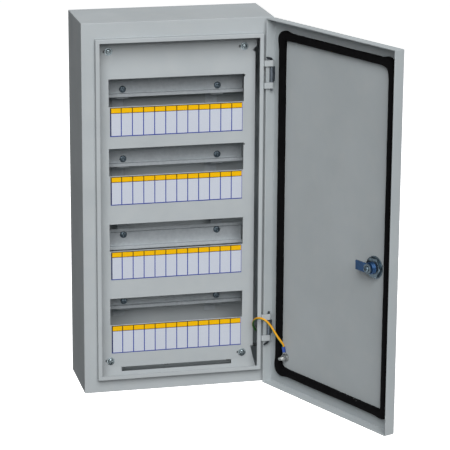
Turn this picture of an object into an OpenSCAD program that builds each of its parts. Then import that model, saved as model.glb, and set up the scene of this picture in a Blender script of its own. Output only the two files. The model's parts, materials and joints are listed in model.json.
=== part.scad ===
// Wall-mounted breaker panel box for four rows of twelve modules.
// Frame: origin at the centre of the back face, +X right, -Y out of the wall, +Z up. Millimetres.
// The door stands open at door_open; its pieces are drawn closed and then turned about the hinge pins.

/* [Enclosure] */
// Outer width of the box
body_w = 310; // [300:1:360]
// Outer height of the box
body_h = 610; // [600:1:680]
// Depth of the box, wall to front flange
body_d = 120; // [112:1:160]
// Thickness of the sheet steel
sheet = 1.2; // [1:0.1:1.5]
// Width of the front flange on the lock side
flange_left = 21; // [20:0.5:24]
// Width of the front flange on the hinge side
flange_right = 18; // [17.5:0.5:20]
// Width of the front flange at the top
flange_top = 25; // [22:0.5:28]
// Width of the front flange at the bottom
flange_bottom = 23; // [20:0.5:24]
// How far the lip round the opening stands forward of the flange
lip_depth = 10; // [9:0.5:11]
// Width of the lip's front face
lip_w = 6.5; // [5:0.5:8]
// Depth of the lip's inner return
lip_return = 4; // [3:0.5:6]

/* [Wall fixing] */
// Distance between the wall fixing holes, across
fix_spacing_x = 250; // [200:5:270]
// Distance between the wall fixing holes, up
fix_spacing_z = 550; // [540:5:560]
// Radius of a wall fixing hole
fix_hole_r = 4.5; // [3:0.25:6]

/* [Door] */
// Angle at which the door stands open
door_open = 114; // [90:1:118]
// Depth of the door tray
door_depth = 18; // [17:0.5:20]
// Gap between the door's rim and the front flange
door_gap = 1.5; // [1.2:0.1:2]
// How far the door stays in from each edge of the box
door_inset = 1; // [0.5:0.1:1.2]

/* [Hinges] */
// Radius of a hinge pin
pin_r = 1.7; // [1.5:0.1:1.8]
// Distance of the pin in from the side of the box
pin_inset = 5.5; // [5.2:0.1:6]
// Distance of the pin in front of the front flange
pin_forward = 10; // [9.8:0.1:11]
// Radial running clearance on a pin or shaft
run_gap = 0.05; // [0.03:0.01:0.08]
// Thickness of a hinge arm's strip
arm_t = 1.2; // [1:0.1:1.3]
// Height of a hinge arm
arm_h = 10; // [8:0.5:11]
// Distance between the two arms of one hinge
arm_spacing = 36; // [35:1:44]
// Distance of the upper hinge's middle from the top of the box
hinge_down = 91; // [75:1:120]
// Distance of the lower hinge's middle from the bottom of the box
hinge_up = 96; // [95:1:120]
// Height of the door's hinge bracket
bracket_h = 24; // [18:0.5:24]
// Length of the bent end of a pin
pin_hook = 10; // [6:0.5:10]
// Length of the pin's plain end past its arm
pin_end = 4; // [2:0.5:6]

/* [Seal] */
// Width of the foam seal
gasket_w = 14; // [12:0.5:14.5]
// Distance of the seal's centre line from the door's free edge
gasket_free = 19.5; // [18:0.5:20.5]
// Distance of the seal's centre line from the door's hinged edge
gasket_hinge = 25; // [24.5:0.5:26]
// Distance of the seal's centre line from the door's top edge
gasket_top = 24.5; // [23:0.5:26]
// Distance of the seal's centre line from the door's bottom edge
gasket_bottom = 26; // [24:0.5:28]
// Outer radius of the seal's corners
gasket_corner = 16; // [15.5:0.5:22]
// Gap between two pieces that face each other without pressing
face_gap = 0.3; // [0.2:0.05:0.4]

/* [Inner panel] */
// Distance of the inner panel's face behind the front flange
panel_recess = 19; // [16:0.5:24]
// Gap between the panel's side edges and the clear opening
panel_side_gap = 0.5; // [0:0.5:2]
// Gap between the panel's top edge and the clear opening
panel_top_gap = 3.5; // [3:0.5:5]
// How far the panel's bottom edge laps behind the lip
panel_lap = 9.5; // [6:0.5:12]
// Width of a breaker window
window_w = 220; // [200:1:222]
// Height of a breaker window
window_h = 45; // [44:0.5:48]
// Height of the lowest window edge of row one above the middle of the box
row_one_z = 165; // [161:1:168]
// Distance from row one down to row two
first_pitch = 113; // [112:1:115]
// Distance between each of the other rows
row_pitch = 125; // [124:1:126]
// Distance of the fixing screws from the panel's centre line
panel_screw_x = 110; // [104:1:114]
// Distance of the top fixing screws from the panel's top edge
panel_screw_down = 15; // [13:0.5:18]
// Distance of the bottom fixing screws from the panel's bottom edge
panel_screw_up = 26; // [23:0.5:27]
// Height of the strip below the crease near the panel's bottom edge
strip_h = 15; // [12:0.5:18]
// How far that strip leans forward
strip_lean = 3; // [1:0.5:4]
// Length of the cable slot in the strip
slot_w = 184; // [150:1:200]
// Height of the cable slot
slot_h = 7; // [4:0.5:8]

/* [Labels] */
// Width of one module on a label
module_w = 18; // [16:0.5:18]
// Modules in a row
modules = 12; // [8:1:12]
// Height of a label
label_h = 47; // [40:1:48]
// Thickness of a label
label_t = 0.5; // [0.3:0.1:1]
// Gap between a window and the label below it
label_gap = 1; // [0.5:0.5:2]

/* [Rails] */
// Height of a top-hat rail
rail_h = 35; // [34:0.5:36]
// Height of the rail's recessed web
rail_web = 27; // [25:0.5:28]
// Depth of a rail
rail_d = 7.5; // [7:0.5:8]
// Thickness of a rail
rail_t = 1; // [0.8:0.1:1.5]
// Length of a rail
rail_l = 240; // [220:1:244]
// Distance from the rail's face to the back of the panel
rail_to_panel = 44; // [43:0.5:46]
// Distance of the rail brackets from the middle of the opening
rail_bracket_x = 78; // [70:1:90]
// Width of a rail bracket
rail_bracket_w = 20; // [18:1:24]
// Thickness of a rail bracket
rail_bracket_t = 1.5; // [1.2:0.1:2]
// Length of a rail bracket's foot
foot_l = 25; // [20:0.5:27]
// Distance of a rail's screw holes from the middle of its web
rail_hole_off = 6; // [5:0.5:6]
// Radius of a rail screw's head
rail_screw_r = 5.7; // [4:0.1:6]
// Height of a rail screw's head
rail_screw_h = 3.4; // [2:0.1:4]

/* [Terminal bars] */
// Length of a terminal bar
bar_l = 180; // [120:5:185]
// Height of a terminal bar
bar_h = 10; // [8:0.5:12]
// Depth of a terminal bar
bar_d = 8; // [6:0.5:10]
// Distance of the neutral bar from the top of the box
neutral_down = 21; // [17:1:25]
// Distance of the earth bar from the top of the box
earth_down = 43; // [41:1:47]
// Height of the bars off the back wall
bar_off = 24; // [16:1:30]
// Number of screws in a bar
bar_screws = 12; // [6:1:12]

/* [Gland plate] */
// Width of the cut-out in the box's floor
gland_w = 200; // [150:5:220]
// Depth of the cut-out in the box's floor
gland_d = 64; // [50:1:70]
// Distance of the cut-out's middle from the wall
gland_y = 62; // [58:1:64]
// How far the gland plate laps over the floor
gland_lap = 13; // [12:0.5:16]
// Thickness of the gland plate
gland_t = 2; // [1.5:0.25:3]
// Thickness of the gland plate's seal
gland_seal_t = 3; // [2:0.5:4]
// Radius of a cable grommet's hole
grommet_r = 12.5; // [8:0.5:14]

/* [Lock] */
// Distance of the lock from the door's free edge
lock_in = 52; // [48:0.5:54]
// Depth of the lock below the middle of the box
lock_z = 46; // [30:1:60]
// Radius of the lock's threaded housing
lock_r = 9.8; // [8:0.2:10]
// Radius of the turning core
core_r = 6; // [5:0.25:7]
// Width of the core's square end
core_square = 7; // [6:0.25:8]
// Width of the lock nut across its flats
lock_nut_w = 30; // [26:0.5:32]
// Height of the lock nut
lock_nut_h = 5; // [4:0.5:7]
// Radius of the lock's spring washer
lock_washer_r = 18; // [16:0.5:19]
// Thickness of the lock's spring washer
lock_washer_t = 1.5; // [1:0.1:2]
// How far the cam's tip reaches behind the lip
cam_bite = 4; // [3:0.5:4.5]
// Width of the cam
cam_w = 15; // [14:0.5:20]
// Thickness of the cam
cam_t = 2.5; // [2:0.1:3]

/* [Earth bonding] */
// Radius of an earth stud
stud_r = 3; // [2.5:0.25:3.5]
// Length of an earth stud
stud_l = 15; // [14:0.5:18]
// Radius of a ring terminal's eye plate
ring_r = 6; // [5:0.25:7]
// Thickness of a ring terminal
ring_t = 1; // [0.8:0.1:1.5]
// Distance from a stud to the mouth of its terminal
terminal_l = 18; // [16:0.5:20]
// Radius of a terminal's insulating sleeve
sleeve_r = 3; // [2.6:0.1:3.4]
// Distance of the door's stud from the door's hinged edge
door_stud_in = 41; // [40:0.5:43]
// Distance of the door's stud from the door's bottom edge
door_stud_up = 51; // [48:1:54]
// Tilt of the door's terminal from upright
terminal_tilt = 12; // [0:1:15]
// Distance of the box's stud from the wall
body_stud_y = 60; // [50:1:70]
// Distance of the box's stud from the bottom of the box
body_stud_up = 43; // [39:1:47]

/* [Hidden] */

// Smoothness of round pieces
$fn = 48;
// Overlap that lets one cut run cleanly past another
cut = 1;

// Colours
steel_grey = [0.68, 0.71, 0.72];
door_grey = [0.57, 0.60, 0.61];
zinc = [0.74, 0.76, 0.76];
blue_zinc = [0.16, 0.26, 0.42];
black = [0.04, 0.04, 0.04];
brass_yellow = [0.78, 0.62, 0.25];
label_white = [0.80, 0.80, 0.84];
wire_yellow = [0.86, 0.68, 0.16];
sleeve_blue = [0.10, 0.25, 0.60];

// Edges of the box
left = -body_w / 2;
right = body_w / 2;
bottom = -body_h / 2;
top = body_h / 2;
front = -body_d;
back_in = -sheet;
front_in = front + sheet;

// Lip round the opening
lip_front = front - lip_depth;
lip_left = left + flange_left;
lip_right = right - flange_right;
lip_bottom = bottom + flange_bottom;
lip_top = top - flange_top;
open_left = lip_left + lip_w;
open_right = lip_right - lip_w;
open_bottom = lip_bottom + lip_w;
open_top = lip_top - lip_w;
open_x = (open_left + open_right) / 2;

// Door
door_left = left + door_inset;
door_right = right - door_inset;
door_bottom = bottom + door_inset;
door_top = top - door_inset;
rim_y = front - door_gap;
skin_y = rim_y - door_depth;
skin_in = skin_y + sheet;

// Seal
gasket_inner_corner = 3;

// Hinges
hinge_upper_z = top - hinge_down;
hinge_lower_z = bottom + hinge_up;
pin_x = right - pin_inset;
pin_y = front - pin_forward;
arm_front = pin_y - pin_r - run_gap - arm_t;
leaf_r = door_right - sheet - pin_x;
bracket_low = -arm_spacing / 2 + arm_h / 2 + face_gap;
// Bend of a pin's end: how far it turns, its heading seen from above, and how much the wire draws thin there
bend_angle = 75;
bend_heading = 210;
bend_thinning = 0.2;

// Inner panel
slot_below = 0.5;
panel_y = front + panel_recess;
panel_back = panel_y + sheet;
panel_left = open_left + panel_side_gap;
panel_right = open_right - panel_side_gap;
panel_top = open_top - panel_top_gap;
panel_bottom = open_bottom - panel_lap;
crease_z = panel_bottom + strip_h;
slot_top = crease_z - slot_below;
// Corner reliefs of the panel: how far each one cuts in, where it starts and how it runs out
relief_in = 4.5;
relief_top = 25;
relief_step = 3;
relief_rise = 10.5;
relief_bottom = 36;
// Window corner nick
nick = 2;
// Hanging slot beside each fixing screw
key_l = 8.5;
key_h = 3.6;
panel_screws_at = [
    [open_x - panel_screw_x, panel_top - panel_screw_down],
    [open_x + panel_screw_x, panel_top - panel_screw_down],
    [open_x - panel_screw_x, panel_bottom + panel_screw_up],
    [open_x + panel_screw_x, panel_bottom + panel_screw_up]
];

// Rows
rows = 4;
function sill(row) = row == 0 ? row_one_z : row_one_z - first_pitch - (row - 1) * row_pitch;
// How far each rail stands above the middle of its window
rail_shift = [0.5, -1.5, -16, 7.5];
function rail_z(row) = sill(row) + window_h / 2 + rail_shift[row];

// Rails and their brackets
rail_front = panel_back + rail_to_panel;
rail_back = rail_front + rail_d;
bracket_past = 4.5;
rail_bracket_r = rail_h / 2 + bracket_past;
rail_hole_r = 2.6;
rail_screw_l = 8;
// Which row of a rail's holes its screws use: 1 above the middle, -1 below
hole_side = [-1, -1, 1, -1];
// The row whose rail also has the other holes
spare_row = 2;
function rail_screw_z(row) = rail_z(row) + hole_side[row] * rail_hole_off;

// Fasteners
screw_r = 2.4;
thread_r = 2.5;
pillar_r = 4.5;
panel_screw_head_r = 4.6;
panel_screw_head_h = 2.8;
panel_screw_l = 14;
panel_washer_r = 6.4;
panel_washer_t = 1.1;
driver_slot = 1;
driver_depth = 1.2;

// Terminal bars
neutral_z = top - neutral_down;
earth_z = top - earth_down;
bar_front = -(sheet + bar_off + bar_d);
support_w = 12;
support_inset = 4;
bar_screw_r = 2.6;
bar_head_r = 3.4;
bar_hole_d = 5;
support_hole_d = 10;
support_past = 1;
tip_gap = 0.5;
bar_screw_h = 1.5;
bar_screw_pitch = (bar_l - 2 * (support_inset + support_w)) / bar_screws;

// Gland plate
floor_in = bottom + sheet;
gland_plate_low = floor_in + gland_seal_t;
gland_plate_high = gland_plate_low + gland_t;
gland_screw_r = 2;
gland_hole_gap = 0.2;
gland_hole_r = gland_screw_r + gland_hole_gap;
gland_screw_edge = 6;
gland_screw_x = gland_w / 2 + gland_lap - gland_screw_edge;
gland_screw_y = gland_d / 2 + gland_lap - gland_screw_edge;
gland_screws_at = [for (i = [-1, 0, 1], j = [-1, 1]) [i * gland_screw_x, j * gland_screw_y - gland_y]];
gland_low = [-gland_w / 2, -gland_y - gland_d / 2];
gland_high = [gland_w / 2, -gland_y + gland_d / 2];
grommets = 4;
grommet_pitch = gland_w / grommets;
grommet_lip = 2.5;
grommet_lip_t = 2;

// Lock
lock_x = door_left + lock_in;
lock_hole_gap = 0.2;
head_r = 14;
head_t = 3.5;
cam_gap = 0.5;
cam_front = lip_front + lip_return + cam_gap;
cam_reach = lock_x - open_left + min(cam_bite, lip_w - sheet - cam_gap);
cam_back = cam_front + cam_t;
housing_end = cam_front - face_gap;
cam_washer_r = 8;
cam_washer_t = 2.2;
cam_screw_r = 5;
cam_screw_h = 3;
cam_thread_r = 2.4;
cam_thread_l = 12;
core_face = 1.5;
key_r = 4.5;
key_d = 6;
flat_cut = 1;
teeth = 6;
tooth_gap = 2.4;
tooth_d = 1.6;
tooth_h = 1.2;

// Earth studs, terminals and wire
stud_nut_w = 10;
stud_nut_h = 5;
star_washer_r = 7;
star_washer_t = 1.2;
star_notches = 10;
star_notch = 1.4;
barrel_r = 2;
barrel_start = 7;
sleeve_l = 9;
sleeve_taper = 0.4;
door_stud_x = door_right - door_stud_in;
door_stud_z = door_bottom + door_stud_up;
body_stud_z = bottom + body_stud_up;
wire_r = 1.95;
wire_sides = 8;
wire_route = [
    [150.6, -60, -243.7], [150.6, -60.8, -240], [149.5, -66, -234], [147, -74, -230], [143.5, -82, -228],
    [140, -90, -226.5], [136.5, -97, -224], [133, -104, -219.5], [129, -110, -213], [126.5, -116, -206.5],
    [125.5, -123, -200], [126, -130, -194.5], [128.5, -137, -190.5], [133, -143, -189], [138.5, -147, -191],
    [143.5, -149.5, -195.5], [148, -151.5, -201.5], [151.5, -153.5, -207.5], [155, -155.5, -213.5],
    [158.2, -156.9, -219], [162.1, -158.3, -224.5], [165.6, -158, -229.5], [167, -157.6, -232.5],
    [167.4, -157.8, -235.1]
];

// A straight-edged block between two corners
module block(low, high) {
    translate(low) cube(high - low);
}

// A frame cut from sheet lying flat in the front view
module frame_ring(outer_low, outer_high, inner_low, inner_high, y_low, y_high) {
    difference() {
        block([outer_low[0], y_low, outer_low[1]], [outer_high[0], y_high, outer_high[1]]);
        block([inner_low[0], y_low - cut, inner_low[1]], [inner_high[0], y_high + cut, inner_high[1]]);
    }
}

// A cylinder that runs along Y from y_low to y_high
module rod_y(x, z, r, y_low, y_high) {
    translate([x, y_high, z]) rotate([90, 0, 0]) cylinder(r = r, h = y_high - y_low);
}

// A cylinder that runs along X from x_low to x_high
module rod_x(y, z, r, x_low, x_high) {
    translate([x_low, y, z]) rotate([0, 90, 0]) cylinder(r = r, h = x_high - x_low);
}

// A hexagonal prism along Y
module hex_y(x, z, across, y_low, y_high) {
    translate([x, y_high, z]) rotate([90, 0, 0]) cylinder(d = across / cos(30), h = y_high - y_low, $fn = 6);
}

// A plate in the front view with round corners
module soft_plate(low, high, r, y_low, y_high) {
    block([low[0] + r, y_low, low[1]], [high[0] - r, y_high, high[1]]);
    block([low[0], y_low, low[1] + r], [high[0], y_high, high[1] - r]);
    for (x = [low[0] + r, high[0] - r], z = [low[1] + r, high[1] - r]) rod_y(x, z, r, y_low, y_high);
}

// Turns the door's pieces from closed to open
module opened() {
    translate([pin_x, pin_y, 0]) rotate([0, 0, door_open]) translate([-pin_x, -pin_y, 0]) children();
}

module enclosure_shell() {
    color(steel_grey)
    difference() {
        union() {
            difference() {
                block([left, front, bottom], [right, 0, top]);
                block([left + sheet, front_in, bottom + sheet], [right - sheet, back_in, top - sheet]);
                block([lip_left, front - cut, lip_bottom], [lip_right, front_in + cut, lip_top]);
            }
            lip_wall();
        }
        for (x = [-1, 1], z = [-1, 1])
            rod_y(x * fix_spacing_x / 2, z * fix_spacing_z / 2, fix_hole_r, back_in - cut, cut);
        block([gland_low[0], gland_low[1], bottom - cut], [gland_high[0], gland_high[1], floor_in + cut]);
        gland_holes(bottom, sheet);
    }
}

// The raised lip: outer wall, front face and inner return
module lip_wall() {
    frame_ring([lip_left, lip_bottom], [lip_right, lip_top],
        [lip_left + sheet, lip_bottom + sheet], [lip_right - sheet, lip_top - sheet], lip_front, front_in);
    frame_ring([lip_left, lip_bottom], [lip_right, lip_top],
        [open_left, open_bottom], [open_right, open_top], lip_front, lip_front + sheet);
    frame_ring([open_left - sheet, open_bottom - sheet], [open_right + sheet, open_top + sheet],
        [open_left, open_bottom], [open_right, open_top], lip_front, lip_front + lip_return);
}

// The gland plate's screw holes through a sheet that starts at z and is t thick
module gland_holes(z, t) {
    for (p = gland_screws_at) translate([p[0], p[1], z - cut]) cylinder(r = gland_hole_r, h = t + 2 * cut);
}

// A plate over the cut-out and its lap
module gland_blank(z_low, z_high) {
    block([gland_low[0] - gland_lap, gland_low[1] - gland_lap, z_low],
        [gland_high[0] + gland_lap, gland_high[1] + gland_lap, z_high]);
}

module gland_plate() {
    color(steel_grey)
    difference() {
        gland_blank(gland_plate_low, gland_plate_high);
        for (i = [0 : grommets - 1])
            translate([grommet_x(i), -gland_y, gland_plate_low - cut])
                cylinder(r = grommet_r, h = gland_t + 2 * cut);
        gland_holes(gland_plate_low, gland_t);
    }
}

function grommet_x(i) = (i - (grommets - 1) / 2) * grommet_pitch;

module gland_plate_seal() {
    color(black)
    difference() {
        gland_blank(floor_in, gland_plate_low);
        block([gland_low[0], gland_low[1], floor_in - cut],
            [gland_high[0], gland_high[1], gland_plate_low + cut]);
        gland_holes(floor_in, gland_seal_t);
    }
}

module gland_plate_screws() {
    color(zinc)
    for (p = gland_screws_at) translate([p[0], p[1], gland_plate_high]) {
        translate([0, 0, bottom - gland_plate_high])
            cylinder(r = gland_screw_r, h = gland_plate_high - bottom);
        difference() {
            cylinder(r = gland_screw_r * 2, h = gland_screw_r);
            cross_slot(gland_screw_r * 2.4, gland_screw_r);
        }
    }
}

// Cross recess cut into a head whose top is at height h
module cross_slot(length, h) {
    for (a = [0, 90]) rotate([0, 0, a])
        translate([-length / 2, -driver_slot / 2, h - driver_depth])
            cube([length, driver_slot, driver_depth + cut]);
}

module cable_grommets() {
    color(black)
    for (i = [0 : grommets - 1]) translate([grommet_x(i), -gland_y, 0]) {
        translate([0, 0, gland_plate_low]) cylinder(r = grommet_r, h = gland_t);
        translate([0, 0, gland_plate_high]) cylinder(r = grommet_r + grommet_lip, h = grommet_lip_t);
        translate([0, 0, gland_plate_low - grommet_lip_t])
            cylinder(r = grommet_r + grommet_lip, h = grommet_lip_t);
    }
}

// One hinge arm: a strip that stands off the flange and closes round the pin
module hinge_arm(z) {
    translate([0, 0, z - arm_h / 2])
    difference() {
        union() {
            block([lip_right, arm_front, 0], [lip_right + arm_t, front, arm_h]);
            block([lip_right, arm_front, 0], [pin_x, arm_front + arm_t, arm_h]);
            translate([pin_x, pin_y, 0]) cylinder(r = pin_r + run_gap + arm_t, h = arm_h);
        }
        translate([pin_x, pin_y, -cut]) cylinder(r = pin_r + run_gap, h = arm_h + 2 * cut);
    }
}

module hinge_arms_upper() {
    color(steel_grey) for (s = [-1, 1]) hinge_arm(hinge_upper_z + s * arm_spacing / 2);
}

module hinge_arms_lower() {
    color(steel_grey) for (s = [-1, 1]) hinge_arm(hinge_lower_z + s * arm_spacing / 2);
}

// A pin with its bent end up; the bend points out of the box and towards the opening
module hinge_pin() {
    bend_z = arm_spacing / 2 + arm_h / 2 + pin_r + face_gap;
    low_z = -arm_spacing / 2 - arm_h / 2 - pin_end;
    translate([pin_x, pin_y, low_z]) cylinder(r = pin_r, h = bend_z + pin_r - low_z);
    translate([pin_x, pin_y, bend_z]) rotate([0, 0, bend_heading]) rotate([0, bend_angle, 0])
        cylinder(r = pin_r - bend_thinning, h = pin_hook + pin_r);
}

module hinge_pin_upper() {
    color(zinc) translate([0, 0, hinge_upper_z]) hinge_pin();
}

module hinge_pin_lower() {
    color(zinc) translate([0, 0, hinge_lower_z]) mirror([0, 0, 1]) hinge_pin();
}

// A hat-shaped bracket whose feet are welded to the back wall
module rail_bracket(row, side) {
    x = open_x + side * rail_bracket_x;
    z = rail_z(row);
    low_x = x - rail_bracket_w / 2;
    high_x = x + rail_bracket_w / 2;
    foot_r = rail_bracket_r + foot_l;
    color(steel_grey)
    difference() {
        union() {
            block([low_x, rail_back, z - rail_bracket_r], [high_x, back_in, z + rail_bracket_r]);
            block([low_x, back_in - rail_bracket_t, z - foot_r], [high_x, back_in, z + foot_r]);
        }
        block([low_x - cut, rail_back + rail_bracket_t, z - rail_bracket_r + rail_bracket_t],
            [high_x + cut, back_in + cut, z + rail_bracket_r - rail_bracket_t]);
        rod_y(x, rail_screw_z(row), thread_r, rail_back - cut, rail_back + rail_bracket_t + cut);
    }
}

module rail_bracket_1_left() { rail_bracket(0, -1); }
module rail_bracket_1_right() { rail_bracket(0, 1); }
module rail_bracket_2_left() { rail_bracket(1, -1); }
module rail_bracket_2_right() { rail_bracket(1, 1); }
module rail_bracket_3_left() { rail_bracket(2, -1); }
module rail_bracket_3_right() { rail_bracket(2, 1); }
module rail_bracket_4_left() { rail_bracket(3, -1); }
module rail_bracket_4_right() { rail_bracket(3, 1); }

// A top-hat rail; the web lies against its brackets
module din_rail(row) {
    z = rail_z(row);
    x_low = open_x - rail_l / 2;
    x_high = open_x + rail_l / 2;
    web = rail_web / 2;
    color(steel_grey)
    difference() {
        union() {
            block([x_low, rail_back - rail_t, z - web], [x_high, rail_back, z + web]);
            for (s = [-1, 1]) {
                block([x_low, rail_front, z + s * (web - rail_t / 2) - rail_t / 2],
                    [x_high, rail_back, z + s * (web - rail_t / 2) + rail_t / 2]);
                block([x_low, rail_front, min(z + s * (web - rail_t), z + s * rail_h / 2)],
                    [x_high, rail_front + rail_t, max(z + s * (web - rail_t), z + s * rail_h / 2)]);
            }
        }
        for (s = [-1, 1], side = row == spare_row ? [-1, 1] : [hole_side[row]])
            rod_y(open_x + s * rail_bracket_x, z + side * rail_hole_off, rail_hole_r,
                rail_back - rail_t - cut, rail_back + cut);
    }
}

module din_rail_1() { din_rail(0); }
module din_rail_2() { din_rail(1); }
module din_rail_3() { din_rail(2); }
module din_rail_4() { din_rail(3); }

module din_rail_screws() {
    seat = rail_back - rail_t;
    color(zinc)
    for (row = [0 : rows - 1], s = [-1, 1])
        translate([open_x + s * rail_bracket_x, seat, rail_screw_z(row)])
        rotate([90, 0, 0]) {
        difference() {
            cylinder(r = rail_screw_r, h = rail_screw_h);
            cross_slot(rail_screw_r, rail_screw_h);
        }
        translate([0, 0, -rail_screw_l]) cylinder(r = screw_r, h = rail_screw_l);
    }
}

module panel_pillars() {
    color(zinc)
    for (p = panel_screws_at) difference() {
        rod_y(p[0], p[1], pillar_r, panel_back, back_in);
        rod_y(p[0], p[1], thread_r, panel_back - cut, panel_back + panel_screw_l);
    }
}

// Half of the panel's outline, from its bottom corner up; side is -1 on the left and 1 on the right
function panel_side(edge, side) = [
    [edge + side * relief_in, panel_bottom],
    [edge - side * relief_in, panel_bottom + relief_bottom],
    [edge, panel_bottom + relief_bottom],
    [edge, panel_top - relief_top],
    [edge - side * relief_in, panel_top - relief_top + relief_step],
    [edge + side * relief_in / 2, panel_top - relief_top + relief_rise],
    [edge + side * relief_in / 2, panel_top]
];
function reversed(list) = [for (i = [len(list) - 1 : -1 : 0]) list[i]];
panel_outline = concat(panel_side(panel_left, -1), reversed(panel_side(panel_right, 1)));

// Side view of the panel's sheet: upright down to the crease, then leaning forward
panel_profile = [
    [panel_back, panel_top], [panel_y, panel_top], [panel_y, crease_z],
    [panel_y - strip_lean, panel_bottom], [panel_back - strip_lean, panel_bottom], [panel_back, crease_z]
];

module inner_panel() {
    color(steel_grey)
    difference() {
        intersection() {
            translate([0, panel_back + cut, 0]) rotate([90, 0, 0])
                linear_extrude(height = sheet + strip_lean + 2 * cut) polygon(panel_outline);
            translate([left, 0, 0]) rotate([90, 0, 90])
                linear_extrude(height = body_w) polygon(panel_profile);
        }
        for (row = [0 : rows - 1]) window(row);
        for (p = panel_screws_at) {
            rod_y(p[0], p[1], thread_r, panel_y - cut, panel_back + cut);
            block([p[0] - key_l, panel_y - cut, p[1] - key_h / 2],
                [p[0], panel_back + cut, p[1] + key_h / 2]);
        }
        block([open_x - slot_w / 2, panel_y - strip_lean - cut, slot_top - slot_h],
            [open_x + slot_w / 2, panel_back + cut, slot_top]);
    }
}

// A breaker window with the small press nick of the upper rows
module window(row) {
    x_low = open_x - window_w / 2;
    x_high = open_x + window_w / 2;
    block([x_low, panel_y - cut, sill(row)], [x_high, panel_back + cut, sill(row) + window_h]);
    if (row < 2)
        block([x_high - nick, panel_y - cut, sill(row) + window_h - 2 * nick],
            [x_high + nick, panel_back + cut, sill(row) + window_h - nick / 2]);
}

module panel_screws() {
    seat = panel_y - panel_washer_t;
    color(zinc)
    for (p = panel_screws_at) translate([p[0], seat, p[1]]) rotate([90, 0, 0]) {
        difference() {
            cylinder(r = panel_screw_head_r, h = panel_screw_head_h);
            cross_slot(panel_screw_head_r, panel_screw_head_h);
        }
        translate([0, 0, -panel_screw_l]) cylinder(r = screw_r, h = panel_screw_l);
    }
}

module panel_washers() {
    color(zinc)
    for (p = panel_screws_at) difference() {
        rod_y(p[0], p[1], panel_washer_r, panel_y - panel_washer_t, panel_y);
        rod_y(p[0], p[1], thread_r, panel_y - panel_washer_t - cut, panel_y + cut);
    }
}

module label_strip(row) {
    z = sill(row) - label_gap;
    half = module_w * modules / 2;
    color(label_white)
    block([open_x - half, panel_y - label_t, z - label_h], [open_x + half, panel_y, z]);
}

module label_strip_1() { label_strip(0); }
module label_strip_2() { label_strip(1); }
module label_strip_3() { label_strip(2); }
module label_strip_4() { label_strip(3); }

// A terminal bar with a row of blind screw holes in its face
module terminal_bar(z) {
    color(brass_yellow)
    difference() {
        block([open_x - bar_l / 2, bar_front, z - bar_h / 2],
            [open_x + bar_l / 2, bar_front + bar_d, z + bar_h / 2]);
        for (i = [0 : bar_screws - 1])
            rod_y(bar_screw_x(i), z, screw_r + run_gap, bar_front - cut, bar_front + bar_hole_d);
        for (s = [-1, 1])
            rod_y(open_x + s * support_x, z, screw_r + run_gap, bar_front - cut, bar_front + bar_d + cut);
    }
}

support_x = bar_l / 2 - support_inset - support_w / 2;
function bar_screw_x(i) = open_x + (i - (bar_screws - 1) / 2) * bar_screw_pitch;

// Insulating blocks between a bar and the back wall
module bar_supports(z, tint) {
    color(tint)
    for (s = [-1, 1]) difference() {
        block([open_x + s * support_x - support_w / 2, bar_front + bar_d, z - bar_h / 2 - support_past],
            [open_x + s * support_x + support_w / 2, back_in, z + bar_h / 2 + support_past]);
        rod_y(open_x + s * support_x, z, screw_r + run_gap, bar_front + bar_d - cut,
            bar_front + bar_d + support_hole_d);
    }
}

// Clamp screws along a bar and one fixing screw into each support
module bar_screw_set(z) {
    color(zinc) {
        for (i = [0 : bar_screws - 1]) bar_screw(bar_screw_x(i), z, bar_hole_d - tip_gap);
        for (s = [-1, 1]) bar_screw(open_x + s * support_x, z, bar_d + support_hole_d - tip_gap);
    }
}

module bar_screw(x, z, reach) {
    translate([x, bar_front, z]) rotate([90, 0, 0]) {
        difference() {
            cylinder(r = bar_head_r, h = bar_screw_h);
            translate([-bar_screw_r, -driver_slot / 2, bar_screw_h / 2])
                cube([2 * bar_screw_r, driver_slot, bar_screw_h]);
        }
        translate([0, 0, -reach]) cylinder(r = screw_r, h = reach);
    }
}

module neutral_bar() { terminal_bar(neutral_z); }
module neutral_bar_supports() { bar_supports(neutral_z, [0.15, 0.35, 0.7]); }
module neutral_bar_screws() { bar_screw_set(neutral_z); }
module earth_bar() { terminal_bar(earth_z); }
module earth_bar_supports() { bar_supports(earth_z, [0.3, 0.6, 0.2]); }
module earth_bar_screws() { bar_screw_set(earth_z); }

// A ring terminal that lies in the XZ plane with its eye at the origin and its barrel up
module ring_plate() {
    difference() {
        union() {
            rotate([90, 0, 0]) cylinder(r = ring_r, h = ring_t);
            block([-barrel_r, -ring_t, 0], [barrel_r, 0, barrel_start + cut]);
            translate([0, -barrel_r, barrel_start])
                cylinder(r = barrel_r, h = terminal_l - sleeve_l - barrel_start);
        }
        translate([0, cut, 0]) rotate([90, 0, 0]) cylinder(r = stud_r + run_gap, h = ring_t + 2 * cut);
    }
}

module ring_sleeve() {
    translate([0, -barrel_r, terminal_l - sleeve_l])
        cylinder(r1 = sleeve_r - sleeve_taper, r2 = sleeve_r, h = sleeve_l);
}

// Puts a piece drawn on the XZ plane on the box's stud, at a distance from the right-hand wall
module on_body_stud(off) {
    translate([right - sheet - off, -body_stud_y, body_stud_z]) rotate([0, 0, -90]) children();
}

// A star washer on a stud, drawn on the XZ plane
module star_washer() {
    difference() {
        rod_y(0, 0, star_washer_r, -star_washer_t, 0);
        rod_y(0, 0, stud_r + run_gap, -star_washer_t - cut, cut);
        for (i = [0 : star_notches - 1]) rotate([0, i * 360 / star_notches, 0])
            block([star_washer_r - star_notch, -star_washer_t - cut, -star_notch / 2],
                [star_washer_r + cut, cut, star_notch / 2]);
    }
}

// A hexagonal nut on a stud, drawn on the XZ plane on top of a ring terminal
module stud_nut() {
    difference() {
        hex_y(0, 0, stud_nut_w, -ring_t - stud_nut_h, -ring_t);
        rod_y(0, 0, stud_r + run_gap, -ring_t - stud_nut_h - cut, cut);
    }
}

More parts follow.
